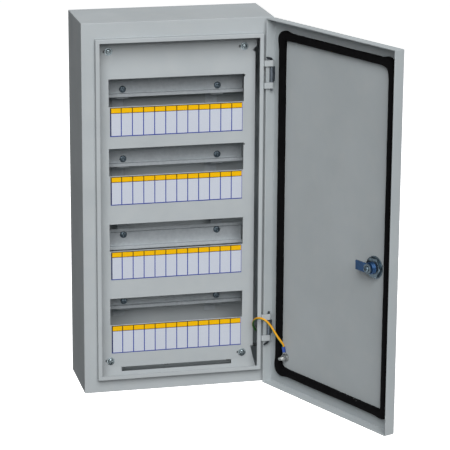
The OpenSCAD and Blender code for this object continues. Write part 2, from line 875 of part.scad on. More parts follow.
module body_earth_stud() {
    color(zinc) rod_x(-body_stud_y, body_stud_z, stud_r, right - sheet - stud_l, right - sheet);
}

module body_earth_washer() {
    color(zinc) on_body_stud(0) star_washer();
}

module body_ring_terminal() {
    color(zinc) on_body_stud(star_washer_t) ring_plate();
}

module body_terminal_sleeve() {
    color(sleeve_blue) on_body_stud(star_washer_t) ring_sleeve();
}

module body_earth_nut() {
    color(zinc) on_body_stud(star_washer_t) stud_nut();
}

// Frames for the swept wire: one across vector per route point
function unit(v) = v / norm(v);
function heading(i) =
    let (last = len(wire_route) - 1)
    unit(wire_route[min(i + 1, last)] - wire_route[max(i - 1, 0)]);
function across(i) = unit(cross(heading(i), [1, 0, 1]));
function over(i) = cross(across(i), heading(i));
function wire_ring(i) = [for (k = [0 : wire_sides - 1])
    wire_route[i] + wire_r * (cos(360 * k / wire_sides) * across(i) + sin(360 * k / wire_sides) * over(i))];

module earth_wire() {
    n = len(wire_route);
    points = [for (i = [0 : n - 1], p = wire_ring(i)) p];
    sides = [for (i = [0 : n - 2], k = [0 : wire_sides - 1])
        let (a = i * wire_sides + k, b = i * wire_sides + (k + 1) % wire_sides)
        [a, b, b + wire_sides, a + wire_sides]];
    start = [for (k = [wire_sides - 1 : -1 : 0]) k];
    end = [for (k = [0 : wire_sides - 1]) (n - 1) * wire_sides + k];
    color(wire_yellow) polyhedron(points = points, faces = concat([start], sides, [end]), convexity = 8);
}

module door_tray() {
    color(door_grey) opened()
    difference() {
        block([door_left, skin_y, door_bottom], [door_right, rim_y, door_top]);
        block([door_left + sheet, skin_in, door_bottom + sheet],
            [door_right - sheet, rim_y + cut, door_top - sheet]);
        rod_y(lock_x, -lock_z, lock_r + lock_hole_gap, skin_y - cut, skin_in + cut);
    }
}

module door_gasket() {
    half = gasket_w / 2;
    low = [door_left + gasket_free - half, door_bottom + gasket_bottom - half];
    high = [door_right - gasket_hinge + half, door_top - gasket_top + half];
    color(black) opened()
    difference() {
        soft_plate(low, high, gasket_corner, skin_in, lip_front - face_gap);
        soft_plate(low + [gasket_w, gasket_w], high - [gasket_w, gasket_w], gasket_inner_corner,
            skin_in - cut, lip_front + cut);
    }
}

// The door's half of a hinge: a leaf on the door's edge that closes round the pin
module door_bracket(z) {
    color(blue_zinc) opened() translate([0, 0, z + bracket_low])
    difference() {
        union() {
            translate([pin_x, pin_y, 0]) cylinder(r = leaf_r, h = bracket_h);
            block([pin_x + pin_r + run_gap, skin_in, 0], [door_right - sheet, pin_y, bracket_h]);
        }
        translate([pin_x, pin_y, -cut]) cylinder(r = pin_r + run_gap, h = bracket_h + 2 * cut);
    }
}

module door_bracket_upper() { door_bracket(hinge_upper_z); }
module door_bracket_lower() { door_bracket(hinge_lower_z); }

// Threaded housing through the door skin, with its head outside and a flat above and below
module lock_housing() {
    flat = lock_r - flat_cut;
    color(blue_zinc) opened()
    difference() {
        union() {
            rod_y(lock_x, -lock_z, head_r, skin_y - head_t, skin_y);
            rod_y(lock_x, -lock_z, lock_r, skin_y - cut, housing_end);
        }
        for (z = [flat, -flat - lock_r])
            block([lock_x - lock_r, skin_in + lock_washer_t + lock_nut_h, -lock_z + z],
                [lock_x + lock_r, housing_end + cut, -lock_z + z + lock_r]);
        rod_y(lock_x, -lock_z, core_r + run_gap, skin_y - head_t - cut, housing_end + cut);
    }
}

module lock_washer() {
    color(zinc) opened()
    difference() {
        rod_y(lock_x, -lock_z, lock_washer_r, skin_in, skin_in + lock_washer_t);
        rod_y(lock_x, -lock_z, lock_r + lock_hole_gap, skin_in - cut, skin_in + lock_washer_t + cut);
    }
}

module lock_nut() {
    low = skin_in + lock_washer_t;
    color(zinc) opened()
    difference() {
        hex_y(lock_x, -lock_z, lock_nut_w, low, low + lock_nut_h);
        rod_y(lock_x, -lock_z, lock_r + run_gap, low - cut, low + lock_nut_h + cut);
    }
}

// The turning core: key face outside, square end inside
module lock_core() {
    color(zinc) opened()
    difference() {
        union() {
            rod_y(lock_x, -lock_z, core_r, skin_y - head_t + core_face, housing_end);
            block([lock_x - core_square / 2, housing_end - cut, -lock_z - core_square / 2],
                [lock_x + core_square / 2, cam_back, -lock_z + core_square / 2]);
        }
        translate([lock_x, skin_y - head_t + core_face + key_d, -lock_z]) rotate([90, 0, 0])
            cylinder(r = key_r, h = key_d + cut, $fn = 3);
        rod_y(lock_x, -lock_z, thread_r, cam_back - cam_thread_l - tip_gap, cam_back + cut);
    }
}

// The cam: a flat tongue with a square hole; at rest it points to the hinges, unlocked
module lock_cam() {
    hole = core_square / 2 + run_gap;
    color(blue_zinc) opened()
    difference() {
        union() {
            rod_y(lock_x, -lock_z, cam_w / 2, cam_front, cam_back);
            block([lock_x, cam_front, -lock_z - cam_w / 2],
                [lock_x + cam_reach, cam_back, -lock_z + cam_w / 2]);
        }
        block([lock_x - hole, cam_front - cut, -lock_z - hole],
            [lock_x + hole, cam_back + cut, -lock_z + hole]);
    }
}

module cam_washer() {
    color(black) opened()
    difference() {
        rod_y(lock_x, -lock_z, cam_washer_r, cam_back, cam_back + cam_washer_t);
        rod_y(lock_x, -lock_z, thread_r, cam_back - cut, cam_back + cam_washer_t + cut);
        for (i = [0 : teeth - 1]) translate([lock_x, 0, -lock_z]) rotate([0, i * 360 / teeth, 0])
            block([cam_washer_r - tooth_d, cam_back + cam_washer_t - tooth_h, -tooth_gap / 2],
                [cam_washer_r + cut, cam_back + cam_washer_t + cut, tooth_gap / 2]);
    }
}

module cam_screw() {
    seat = cam_back + cam_washer_t;
    color(zinc) opened()
    translate([lock_x, seat, -lock_z]) rotate([-90, 0, 0]) {
        difference() {
            cylinder(r = cam_screw_r, h = cam_screw_h);
            cross_slot(cam_screw_r * 1.4, cam_screw_h);
        }
        translate([0, 0, -cam_thread_l]) cylinder(r = cam_thread_r, h = cam_thread_l);
    }
}

// Puts a piece drawn on the XZ plane against the inside of the door, on the door's stud
module on_door_stud(off) {
    opened() translate([door_stud_x, skin_in + off, door_stud_z]) rotate([0, 0, 180]) children();
}

module door_earth_stud() {
    color(zinc) opened() rod_y(door_stud_x, door_stud_z, stud_r, skin_in, skin_in + stud_l);
}

module door_earth_washer() {
    color(zinc) on_door_stud(0) star_washer();
}

module door_ring_terminal() {
    color(zinc) on_door_stud(star_washer_t) rotate([0, -terminal_tilt, 0]) ring_plate();
}

module door_terminal_sleeve() {
    color(sleeve_blue) on_door_stud(star_washer_t) rotate([0, -terminal_tilt, 0]) ring_sleeve();
}

module door_earth_nut() {
    color(zinc) on_door_stud(star_washer_t) stud_nut();
}

enclosure_shell();
gland_plate();
gland_plate_seal();
gland_plate_screws();
cable_grommets();
hinge_arms_upper();
hinge_arms_lower();
hinge_pin_upper();
hinge_pin_lower();
rail_bracket_1_left();
rail_bracket_1_right();
rail_bracket_2_left();
rail_bracket_2_right();
rail_bracket_3_left();
rail_bracket_3_right();
rail_bracket_4_left();
rail_bracket_4_right();
din_rail_1();
din_rail_2();
din_rail_3();
din_rail_4();
din_rail_screws();
panel_pillars();
inner_panel();
panel_screws();
panel_washers();
label_strip_1();
label_strip_2();
label_strip_3();
label_strip_4();
neutral_bar();
neutral_bar_supports();
neutral_bar_screws();
earth_bar();
earth_bar_supports();
earth_bar_screws();
body_earth_stud();
body_earth_washer();
body_earth_nut();
body_ring_terminal();
body_terminal_sleeve();
earth_wire();
door_tray();
door_gasket();
door_bracket_upper();
door_bracket_lower();
lock_housing();
lock_washer();
lock_nut();
door_earth_stud();
door_earth_washer();
door_earth_nut();
door_ring_terminal();
door_terminal_sleeve();
lock_core();
lock_cam();
cam_washer();
cam_screw();
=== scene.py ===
"""Dressed model of a wall-mounted breaker panel box with its door open.

Lengths are in metres: +X right, -Y out of the wall, +Z up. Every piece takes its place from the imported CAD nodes.
Pieces on the door are built as if it were closed, and then turned open about the hinge line.
"""

import json
import logging
import math
from collections.abc import Callable, Sequence
from dataclasses import dataclass, replace
from enum import Enum
from functools import cache
from typing import Any

import bmesh
import bpy
import numpy as np
from mathutils import Matrix, Vector

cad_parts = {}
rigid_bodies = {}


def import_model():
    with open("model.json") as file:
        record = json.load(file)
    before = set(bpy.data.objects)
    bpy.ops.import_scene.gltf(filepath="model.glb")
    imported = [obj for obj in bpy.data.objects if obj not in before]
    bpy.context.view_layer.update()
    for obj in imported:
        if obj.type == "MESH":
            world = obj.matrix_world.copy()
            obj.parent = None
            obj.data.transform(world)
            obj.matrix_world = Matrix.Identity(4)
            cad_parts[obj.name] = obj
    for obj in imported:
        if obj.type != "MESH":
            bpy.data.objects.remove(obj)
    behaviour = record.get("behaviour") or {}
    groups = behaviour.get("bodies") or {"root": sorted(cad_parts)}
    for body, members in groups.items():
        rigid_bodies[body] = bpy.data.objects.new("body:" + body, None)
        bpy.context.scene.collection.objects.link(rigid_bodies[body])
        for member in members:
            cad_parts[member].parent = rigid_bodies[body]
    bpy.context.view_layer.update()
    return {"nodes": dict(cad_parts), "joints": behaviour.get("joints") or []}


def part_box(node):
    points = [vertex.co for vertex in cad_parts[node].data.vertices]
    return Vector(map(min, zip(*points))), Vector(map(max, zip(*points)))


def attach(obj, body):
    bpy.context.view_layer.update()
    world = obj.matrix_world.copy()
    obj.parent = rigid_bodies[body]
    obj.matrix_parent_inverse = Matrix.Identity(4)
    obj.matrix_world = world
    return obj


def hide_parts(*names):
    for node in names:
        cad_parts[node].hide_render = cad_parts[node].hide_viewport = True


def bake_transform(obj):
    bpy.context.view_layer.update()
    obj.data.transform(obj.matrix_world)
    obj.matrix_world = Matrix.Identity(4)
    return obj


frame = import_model()
LOG = logging.getLogger("panel_box")
MM = 0.001
OPEN_ANGLE = 114.0
MERGE_WITHIN = 2e-6  # vertices of a CAD node this near to each other are one
FLAT_BELOW = math.radians(25)  # an edge that turns less than this stays as it is
ROWS = range(1, 5)
UP, OUTWARD, INWARD = (0, 0, 1), (0, -1, 0), (0, 1, 0)
Colour = tuple[int, int, int]
Shade = tuple[float, ...]
Point = Sequence[float]
Outline = list[tuple[float, float]]
Shaper = Callable[[np.ndarray, np.ndarray, np.ndarray], tuple[np.ndarray, np.ndarray]]


class Body(Enum):
    """Moving bodies of the box."""

    ENCLOSURE = "enclosure"
    DOOR = "door"
    ROTOR = "lock_rotor"


class Slot(Enum):
    """Material slots of the record."""

    BOX = "box_enamel"
    DOOR = "door_enamel"
    RAIL = "rail_zinc"
    ZINC = "zinc_plate"
    BLUE = "blue_zinc"
    DARK = "dark_steel"
    BRASS = "bar_brass"
    FOAM = "foam_seal"
    SEAL = "seal_rubber"
    GROMMET = "grommet_rubber"
    CARD = "label_card"
    SUPPORT_BLUE = "support_blue"
    SUPPORT_GREEN = "support_green"
    SHEATH = "wire_sheath"
    SLEEVE = "sleeve_vinyl"


class Drive(Enum):
    """Recess in a screw's head: half width and reach by the head's radius, and depth by its height."""

    CROSS = (0.115, 0.60, 0.62)
    SLOTTED = (0.15, 1.2, 0.5)


@dataclass(frozen=True)
class HingeLine:
    """The door's turning line and the angle at which the door stands open.

    Args:
        x: Place of the line across the box.
        y: Place of the line in front of the wall.
        angle: Opening angle in degrees.
    """

    x: float
    y: float
    angle: float

    def turned(self, points: np.ndarray, degrees: float) -> np.ndarray:
        """Turns points about the line.

        Args:
            points: Points, one row each.
            degrees: Angle, counter-clockwise seen from above.

        Returns:
            The turned points.
        """
        c, s = math.cos(math.radians(degrees)), math.sin(math.radians(degrees))
        x, y = points[:, 0] - self.x, points[:, 1] - self.y
        return np.column_stack([self.x + c * x - s * y, self.y + s * x + c * y, points[:, 2]])

    def opened(self, points: np.ndarray) -> np.ndarray:
        """Takes points from the closed door's place to the open door's."""
        return self.turned(points, self.angle)

    def closed(self, points: np.ndarray) -> np.ndarray:
        """Takes points from the open door's place to the closed door's."""
        return self.turned(points, -self.angle)


DOOR_LINE = HingeLine(*next(j["pos_m"][:2] for j in frame["joints"] if j["name"] == "door_hinge"), OPEN_ANGLE)


def put(name: str, data: Any) -> bpy.types.Object:
    """Adds an object to the scene.

    Args:
        name: The object's name.
        data: Its mesh, lamp or camera.

    Returns:
        The object, at the origin.
    """
    made = bpy.data.objects.new(name, data)
    bpy.context.scene.collection.objects.link(made)
    return made


def baked(carrier: bpy.types.Object) -> bpy.types.Mesh:
    """Applies an object's modifiers and removes the object.

    Args:
        carrier: The object.

    Returns:
        The plain mesh that its modifiers make.
    """
    graph = bpy.context.evaluated_depsgraph_get()
    shown = carrier.evaluated_get(graph)
    made = bpy.data.meshes.new_from_object(shown, preserve_all_data_layers=True, depsgraph=graph)
    carrier.modifiers.clear()
    bpy.data.objects.remove(carrier)
    return made


# ---------------------------------------------------------------- node trees


class Graph:
    """A shader or geometry tree that is built one node at a time."""

    def __init__(self, tree: bpy.types.NodeTree) -> None:
        """Takes the tree."""
        self.tree = tree

    def feed(self, socket: Any, value: Any) -> None:
        """Links an output to an input, or sets the input's value.

        Args:
            socket: The input.
            value: The output or the value.
        """
        if isinstance(value, bpy.types.NodeSocket):
            self.tree.links.new(value, socket)
        else:
            socket.default_value = value

    def node(self, kind: str, inputs: dict[Any, Any] | None = None, **settings: Any) -> bpy.types.Node:
        """Adds a node.

        Args:
            kind: Blender's node type.
            inputs: Value or output for each input, by name or number.
            settings: The node's own properties.

        Returns:
            The node.
        """
        made = self.tree.nodes.new(kind)
        for key, value in settings.items():
            setattr(made, key, value)
        for key, value in (inputs or {}).items():
            self.feed(made.inputs[key], value)
        return made

    def out(self, kind: str, inputs: dict[Any, Any] | None = None, **settings: Any) -> Any:
        """Adds a node and gives its first output."""
        return self.node(kind, inputs, **settings).outputs[0]


def tone(colour: Colour) -> Shade:
    """Turns a display colour into the linear colour that a shader takes.

    Args:
        colour: Red, green and blue, from 0 to 255.

    Returns:
        Linear red, green, blue and an alpha of one.
    """
    parts = [c / 255 for c in colour]
    return (*(p / 12.92 if p <= 0.04045 else ((p + 0.055) / 1.055) ** 2.4 for p in parts), 1.0)


def shaded(colour: Shade, factor: float, lift: float = 0.0) -> Shade:
    """Makes a linear colour lighter or darker."""
    return (*(min(1.0, factor * c + lift) for c in colour[:3]), 1.0)


# ---------------------------------------------------------------- finishes


class Recipe(Graph):
    """A material's shader tree, with patterns on the object's own coordinates."""

    def __init__(self, name: str, roughness: float, metallic: float = 0.0, specular: float = 0.5) -> None:
        """Starts the material.

        Args:
            name: The material's name.
            roughness: Roughness where nothing else sets it.
            metallic: Share of bare metal.
            specular: Level of the clear gloss.
        """
        self.material = bpy.data.materials.new(name)
        self.material.use_nodes = True
        super().__init__(self.material.node_tree)
        self.shader = self.tree.nodes["Principled BSDF"]
        for socket, level in (("Roughness", roughness), ("Metallic", metallic), ("Specular IOR Level", specular)):
            self.shader.inputs[socket].default_value = level
        self.place = self.node("ShaderNodeTexCoord").outputs["Object"]
        self.normal: Any = None

    def math(self, operation: str, a: Any, b: Any = 0.0, c: Any = 0.0) -> Any:
        """Adds one sum of numbers or sockets, named as Blender names it."""
        return self.out("ShaderNodeMath", {0: a, 1: b, 2: c}, operation=operation)

    def below(self, value: Any, limit: Any) -> Any:
        """Gives one where a value is below a limit and nought elsewhere."""
        return self.math("LESS_THAN", value, limit)

    def above(self, value: Any, limit: Any) -> Any:
        """Gives one where a value is above a limit and nought elsewhere."""
        return self.math("GREATER_THAN", value, limit)

    def noise(self, scale: float, detail: float = 3.0, stretch: Point = (1, 1, 1)) -> Any:
        """Adds a noise pattern.

        Args:
            scale: Features per metre.
            detail: Octaves.
            stretch: Scale along each axis.

        Returns:
            The pattern's value, near one half.
        """
        at = self.out("ShaderNodeMapping", {"Scale": stretch, "Vector": self.place})
        return self.out("ShaderNodeTexNoise", {"Scale": scale, "Detail": detail, "Vector": at})

    def cells(self, scale: float) -> Any:
        """Adds a pattern of so many round cells per metre: the distance to the nearest cell's middle."""
        return self.out("ShaderNodeTexVoronoi", {"Scale": scale, "Vector": self.place})

    def ranged(self, value: Any, low: float, high: float, start: float = 0.3, end: float = 0.7) -> Any:
        """Maps a pattern's value onto a range.

        Args:
            value: The pattern.
            low: Result at start and below.
            high: Result at end and above.
            start: Pattern value that gives low.
            end: Pattern value that gives high.

        Returns:
            The mapped value.
        """
        spans = {"From Min": start, "From Max": end, "To Min": low, "To Max": high, "Value": value}
        return self.out("ShaderNodeMapRange", spans)

    def mixed(self, share: Any, first: Any, second: Any) -> Any:
        """Mixes two colours by a share of the second."""
        return self.node("ShaderNodeMix", {"Factor": share, 6: first, 7: second}, data_type="RGBA").outputs[2]

    def bump(self, height: Any, distance: float, strength: float) -> None:
        """Adds relief to the surface.

        Args:
            height: The pattern that gives the height.
            distance: Height of the relief in metres.
            strength: Share of the relief that shows.
        """
        inputs = {"Distance": distance, "Strength": strength, "Height": height}
        if self.normal is not None:
            inputs["Normal"] = self.normal
        self.normal = self.out("ShaderNodeBump", inputs)
        self.feed(self.shader.inputs["Normal"], self.normal)

    def surface(self, colour: Any, roughness: Any) -> None:
        """Gives the surface its colour and its roughness."""
        self.feed(self.shader.inputs["Base Color"], colour)
        self.feed(self.shader.inputs["Roughness"], roughness)


@dataclass(frozen=True)
class Finish:
    """A surface finish that can make its material.

    Args:
        name: The material's name.
        slot: The record's material slot that it belongs to; not used.
    """

    name: str
    slot: Slot

    def material(self) -> bpy.types.Material:
        """Builds the finish's material."""
        raise NotImplementedError


@cache
def dressed(finish: Finish) -> bpy.types.Material:
    """Gives a finish's material, built once."""
    return finish.material()


@dataclass(frozen=True)
class PowderCoat(Finish):
    """Baked powder paint on sheet steel: faint cloudiness, orange peel and a little dust.

    Args:
        colour: Paint colour.
        dust_and_glint: Colour of the dust.
        dusty: Share of dust in the cloudy areas.
    """

    colour: Colour
    dust_and_glint: Colour = (205, 204, 198)
    dusty: float = 0.10

    def material(self) -> bpy.types.Material:
        """Builds the paint's material.

        Returns:
            The material.
        """
        r = Recipe(self.name, 0.5, specular=0.003)
        shade = shaded(tone(self.colour), 0.95)
        pale = shaded(tone(self.colour), 1.05, 0.01)
        paint = r.mixed(r.ranged(r.noise(9.0, 4.0), 0.15, 0.85), shade, pale)
        paint = r.mixed(r.ranged(r.noise(38.0, 6.0), 0.0, self.dusty, 0.45, 0.75), paint, tone(self.dust_and_glint))
        paint = r.mixed(r.ranged(r.noise(1400.0, 2.0), 0.0, 0.10), paint, shade)
        r.surface(paint, r.ranged(r.noise(24.0, 5.0), 0.52, 0.68))
        r.bump(r.noise(3.2, 2.0), 0.35 * MM, 0.4)
        r.bump(r.noise(620.0, 2.0), 0.05 * MM, 0.55)
        return r.material


@dataclass(frozen=True)
class PlatedSteel(Finish):
    """Electroplated steel: mottled passivation, fine drawn lines and small stains.

    Args:
        colour: Plating colour.
        stain: Colour of the duller mottles.
        roughness: Mean roughness.
        metallic: Share of bare metal.
        gloss: Specular level of the clear passivation.
    """

    colour: Colour
    stain: Colour
    roughness: float
    metallic: float
    gloss: float = 0.5

    def material(self) -> bpy.types.Material:
        """Builds the plating's material.

        Returns:
            The material.
        """
        r = Recipe(self.name, self.roughness, self.metallic, self.gloss)
        stain = tone(self.stain)
        metal = r.mixed(r.ranged(r.noise(210.0, 5.0), 0.0, 0.7), tone(self.colour), stain)
        metal = r.mixed(r.ranged(r.noise(45.0), 0.0, 0.35), metal, stain)
        r.surface(metal, r.ranged(r.noise(900.0), self.roughness - 0.07, self.roughness + 0.12))
        r.bump(r.noise(1500.0, 2.0, (1, 1, 0.15)), 0.012 * MM, 0.6)
        r.bump(r.noise(420.0, 2.0), 0.02 * MM, 0.5)
        return r.material


@dataclass(frozen=True)
class BarBrass(Finish):
    """Extruded brass with drawn lines and slight tarnish.

    Args:
        colour: Colour of the clean brass.
        tarnish: Colour of the tarnish.
    """

    colour: Colour = (214, 176, 96)
    tarnish: Colour = (150, 112, 58)

    def material(self) -> bpy.types.Material:
        """Builds the brass material.

        Returns:
            The material.
        """
        r = Recipe(self.name, 0.3, 0.95)
        metal = r.mixed(r.ranged(r.noise(120.0, 5.0), 0.0, 0.6), tone(self.colour), tone(self.tarnish))
        r.surface(metal, r.ranged(r.noise(300.0, 4.0), 0.22, 0.42))
        r.bump(r.noise(1600.0, 2.0, (0.05, 1, 1)), 0.015 * MM, 0.7)
        return r.material


@dataclass(frozen=True)
class SealFoam(Finish):
    """Poured foam: dark skin with pores and the odd pale speck, both dust and a painted glint.

    Args:
        colour: Foam colour.
        pores: Pores per metre.
        dust_and_glint: Colour of the pale specks: dust, and painted glints.
    """

    colour: Colour
    pores: float = 900.0
    dust_and_glint: Colour = (190, 190, 186)

    def material(self) -> bpy.types.Material:
        """Builds the foam's material.

        Returns:
            The material.
        """
        r = Recipe(self.name, 0.92, specular=0.05)
        base = tone(self.colour)
        skin = r.mixed(r.ranged(r.noise(60.0, 5.0), 0.0, 0.8), base, shaded(base, 1.8, 0.001))
        # Rare pale specks: dust, and painted glints that stand in for light caught in small air bubbles.
        grain = r.ranged(r.cells(95.0), 1.0, 0.0, 0.045, 0.075)
        rare = r.ranged(r.noise(17.0, 1.0), 0.0, 0.8, 0.62, 0.64)
        skin = r.mixed(r.math("MULTIPLY", grain, rare), skin, tone(self.dust_and_glint))
        r.surface(skin, r.ranged(r.noise(200.0, 4.0), 0.82, 0.97))
        r.bump(r.cells(self.pores), 0.25 * MM, 0.8)
        r.bump(r.noise(120.0, 4.0), 0.5 * MM, 0.6)
        return r.material


@dataclass(frozen=True)
class MouldedPlastic(Finish):
    """Injection-moulded or dipped plastic with a spark-eroded grain.

    Args:
        colour: Plastic colour.
        roughness: Mean roughness.
        grain: Grain features per metre.
    """

    colour: Colour
    roughness: float = 0.42
    grain: float = 1800.0

    def material(self) -> bpy.types.Material:
        """Builds the plastic's material.

        Returns:
            The material.
        """
        r = Recipe(self.name, self.roughness)
        base = tone(self.colour)
        plastic = r.mixed(r.ranged(r.noise(70.0, 4.0), 0.0, 0.8), base, shaded(base, 0.82))
        r.surface(plastic, r.ranged(r.noise(260.0, 4.0), self.roughness - 0.08, self.roughness + 0.10))
        r.bump(r.noise(self.grain, 2.0), 0.02 * MM, 0.6)
        return r.material


@dataclass(frozen=True)
class PrintedCard(Finish):
    """A printed label of ruled cells under a ruled header, laid out in millimetres on the map "card".

    Args:
        pitch: Width of a cell.
        cells: Cells in the strip.
        height: Height of the strip.
        header: Height of the coloured header.
        line: Half the width of the line between two cells.
        margin: Plain width at each end of the strip.
    """

    pitch: float
    cells: int
    height: float
    header: float = 9.0
    line: float = 0.75
    margin: float = 5.0

    def material(self) -> bpy.types.Material:
        """Builds the card's material.

        Returns:
            The material.
        """
        r = Recipe(self.name, 0.55, specular=0.1)
        uv = r.out("ShaderNodeUVMap", uv_map="card")
        split = r.node("ShaderNodeSeparateXYZ", {0: uv})
        across, down = split.outputs[0], split.outputs[1]
        to_end = r.math("SUBTRACT", self.pitch * self.cells, across)
        to_foot = r.math("SUBTRACT", self.height, down)
        to_line = r.math("PINGPONG", across, self.pitch / 2)
        inner = r.math("MULTIPLY", r.above(across, self.margin), r.above(to_end, self.margin))
        ruled = r.math("MULTIPLY", r.below(to_line, self.line), inner)
        in_header = r.below(down, self.header)
        fibre = r.ranged(r.noise(800.0, 4.0), 0.0, 0.5)
        ink = r.ranged(r.noise(500.0), 0.0, 0.35)
        blue = r.mixed(ink, tone((44, 62, 150)), tone((64, 80, 166)))
        gold = r.mixed(ink, tone((242, 186, 6)), tone((230, 172, 14)))
        dark = r.mixed(ink, tone((52, 46, 14)), tone((74, 66, 24)))
        navy = r.mixed(in_header, tone((40, 44, 88)), tone((66, 52, 28)))
        card = r.mixed(fibre, tone((201, 206, 217)), tone((186, 194, 208)))
        card = r.mixed(ruled, card, blue)
        card = r.mixed(in_header, card, r.mixed(ruled, gold, dark))
        rule = r.below(r.math("ABSOLUTE", r.math("SUBTRACT", down, self.header)), 0.5)
        borders = (
            (rule, dark),
            (r.below(down, 1.1), dark),
            (r.below(across, 2.0), navy),
            (r.below(to_end, 1.0), tone((120, 124, 176))),
            (r.below(to_foot, 1.4), blue),
        )
        for share, print_colour in borders:
            card = r.mixed(share, card, print_colour)
        r.surface(card, r.ranged(r.noise(90.0, 4.0), 0.38, 0.55))
        r.bump(r.noise(1200.0, 2.0), 0.01 * MM, 0.5)
        return r.material


@dataclass(frozen=True)
class StripedSheath(Finish):
    """Two-coloured wire insulation with one stripe, scuffed in places.

    Args:
        ground: Main colour.
        worn_ground: Main colour where it is scuffed.
        stripe: Colour of the stripe.
        worn_stripe: Colour of the stripe where it is scuffed.
        share: Share of the way round that the stripe takes.
    """

    ground: Colour = (226, 162, 34)
    worn_ground: Colour = (204, 146, 44)
    stripe: Colour = (52, 104, 44)
    worn_stripe: Colour = (74, 132, 66)
    share: float = 0.42

    def material(self) -> bpy.types.Material:
        """Builds the sheath's material.

        Returns:
            The material.
        """
        r = Recipe(self.name, 0.38, specular=0.2)
        around = r.node("ShaderNodeAttribute", attribute_name="around").outputs["Fac"]
        edge = r.ranged(r.noise(600.0, 2.0), -0.01, 0.01)
        on = r.below(r.math("ADD", around, edge), self.share)
        scuff = r.ranged(r.noise(240.0, 4.0), 0.0, 0.3)
        ground = r.mixed(scuff, tone(self.ground), tone(self.worn_ground))
        stripe = r.mixed(scuff, tone(self.stripe), tone(self.worn_stripe))
        r.surface(r.mixed(on, ground, stripe), r.ranged(r.noise(300.0, 4.0), 0.3, 0.5))
        r.bump(r.noise(900.0, 2.0), 0.02 * MM, 0.5)
        return r.material


BOX_PAINT = PowderCoat("box_enamel", Slot.BOX, (177, 183, 186))
DOOR_PAINT = PowderCoat("door_enamel", Slot.DOOR, (176, 183, 186))
RAIL_PAINT = PlatedSteel("rail_zinc", Slot.RAIL, (198, 204, 208), (180, 187, 192), 0.5, 0.0, 0.06)
ZINC = PlatedSteel("zinc_plate", Slot.ZINC, (160, 162, 160), (112, 116, 118), 0.30, 0.9)
SCREW_ZINC = PlatedSteel("screw_zinc", Slot.ZINC, (140, 150, 154), (64, 74, 78), 0.22, 1.0)
LOCK_ZINC = PlatedSteel("lock_zinc", Slot.ZINC, (104, 120, 128), (48, 60, 72), 0.28, 0.9)
PIN_ZINC = PlatedSteel("pin_zinc", Slot.ZINC, (92, 98, 104), (50, 54, 60), 0.32, 0.85)
HINGE_ZINC = PlatedSteel("hinge_zinc", Slot.BLUE, (92, 100, 108), (58, 64, 72), 0.40, 0.7)
BLUE_ZINC = PlatedSteel("blue_zinc", Slot.BLUE, (28, 72, 116), (18, 40, 66), 0.36, 0.6)
DARK_STEEL = PlatedSteel("dark_steel", Slot.DARK, (112, 128, 138), (62, 74, 84), 0.34, 0.6)
BRASS = BarBrass("bar_brass", Slot.BRASS)
FOAM = SealFoam("foam_seal", Slot.FOAM, (6, 6, 7))
SEAL_RUBBER = SealFoam("seal_rubber", Slot.SEAL, (24, 24, 25), 1400.0)
GROMMET_RUBBER = MouldedPlastic("grommet_rubber", Slot.GROMMET, (34, 34, 36), 0.6, 900.0)
BLUE_PLASTIC = MouldedPlastic("support_blue", Slot.SUPPORT_BLUE, (52, 96, 176))
GREEN_PLASTIC = MouldedPlastic("support_green", Slot.SUPPORT_GREEN, (84, 150, 62))
SLEEVE_VINYL = MouldedPlastic("sleeve_vinyl", Slot.SLEEVE, (28, 66, 150), 0.35, 1200.0)
SHEATH = StripedSheath("wire_sheath", Slot.SHEATH)


# ---------------------------------------------------------------- geometry node trees


class ShapeTree(Graph):
    """A geometry node tree with named inputs that ends in real geometry with a material."""

    def __init__(self, name: str) -> None:
        """Starts an empty tree.

        Args:
            name: The tree's name.
        """
        super().__init__(bpy.data.node_groups.new(name, "GeometryNodeTree"))
        self.ids: dict[str, str] = {}
        self.entry = self.tree.nodes.new("NodeGroupInput")
        self.exit = self.tree.nodes.new("NodeGroupOutput")
        for way in ("INPUT", "OUTPUT"):
            self.tree.interface.new_socket("Geometry", in_out=way, socket_type="NodeSocketGeometry")
        self.source = self.entry.outputs["Geometry"]

    def size(self, name: str, kind: str) -> Any:
        """Adds a named input.

        Args:
            name: The input's name.
            kind: Socket type without its NodeSocket prefix.

        Returns:
            The input's socket inside the tree.
        """
        made = self.tree.interface.new_socket(name, in_out="INPUT", socket_type="NodeSocket" + kind)
        self.ids[name] = made.identifier
        return self.entry.outputs[name]

    def named(self, name: str, kind: str) -> Any:
        """Reads a named attribute of a kind."""
        return self.out("GeometryNodeInputNamedAttribute", {"Name": name}, data_type=kind)

    def stored(self, geometry: Any, name: str, kind: str, value: Any) -> Any:
        """Stores a value on a geometry's points as a named attribute of a kind."""
        inputs = {"Geometry": geometry, "Name": name, "Value": value}
        return self.out("GeometryNodeStoreNamedAttribute", inputs, data_type=kind, domain="POINT")

    def close(self, geometry: Any) -> None:
        """Ends the tree: instances made real, then the material.

        Args:
            geometry: What the tree has made.
        """
        real = self.out("GeometryNodeRealizeInstances", {"Geometry": geometry})
        finish = self.size("Finish", "Material")
        self.feed(
            self.exit.inputs["Geometry"],
            self.out("GeometryNodeSetMaterial", {"Geometry": real, "Material": finish}),
        )

    def run(self, source: bpy.types.Mesh, finish: Finish, sizes: dict[str, Any]) -> bpy.types.Mesh:
        """Runs the tree on a mesh.

        Args:
            source: What the tree starts from.
            finish: The finish of the result.
            sizes: Value of each named input.

        Returns:
            A plain mesh.
        """
        carrier = put("carrier", source)
        modifier = carrier.modifiers.new("build", "NODES")
        modifier.node_group = self.tree
        for name, value in {**sizes, "Finish": dressed(finish)}.items():
            modifier[self.ids[name]] = value
        return baked(carrier)


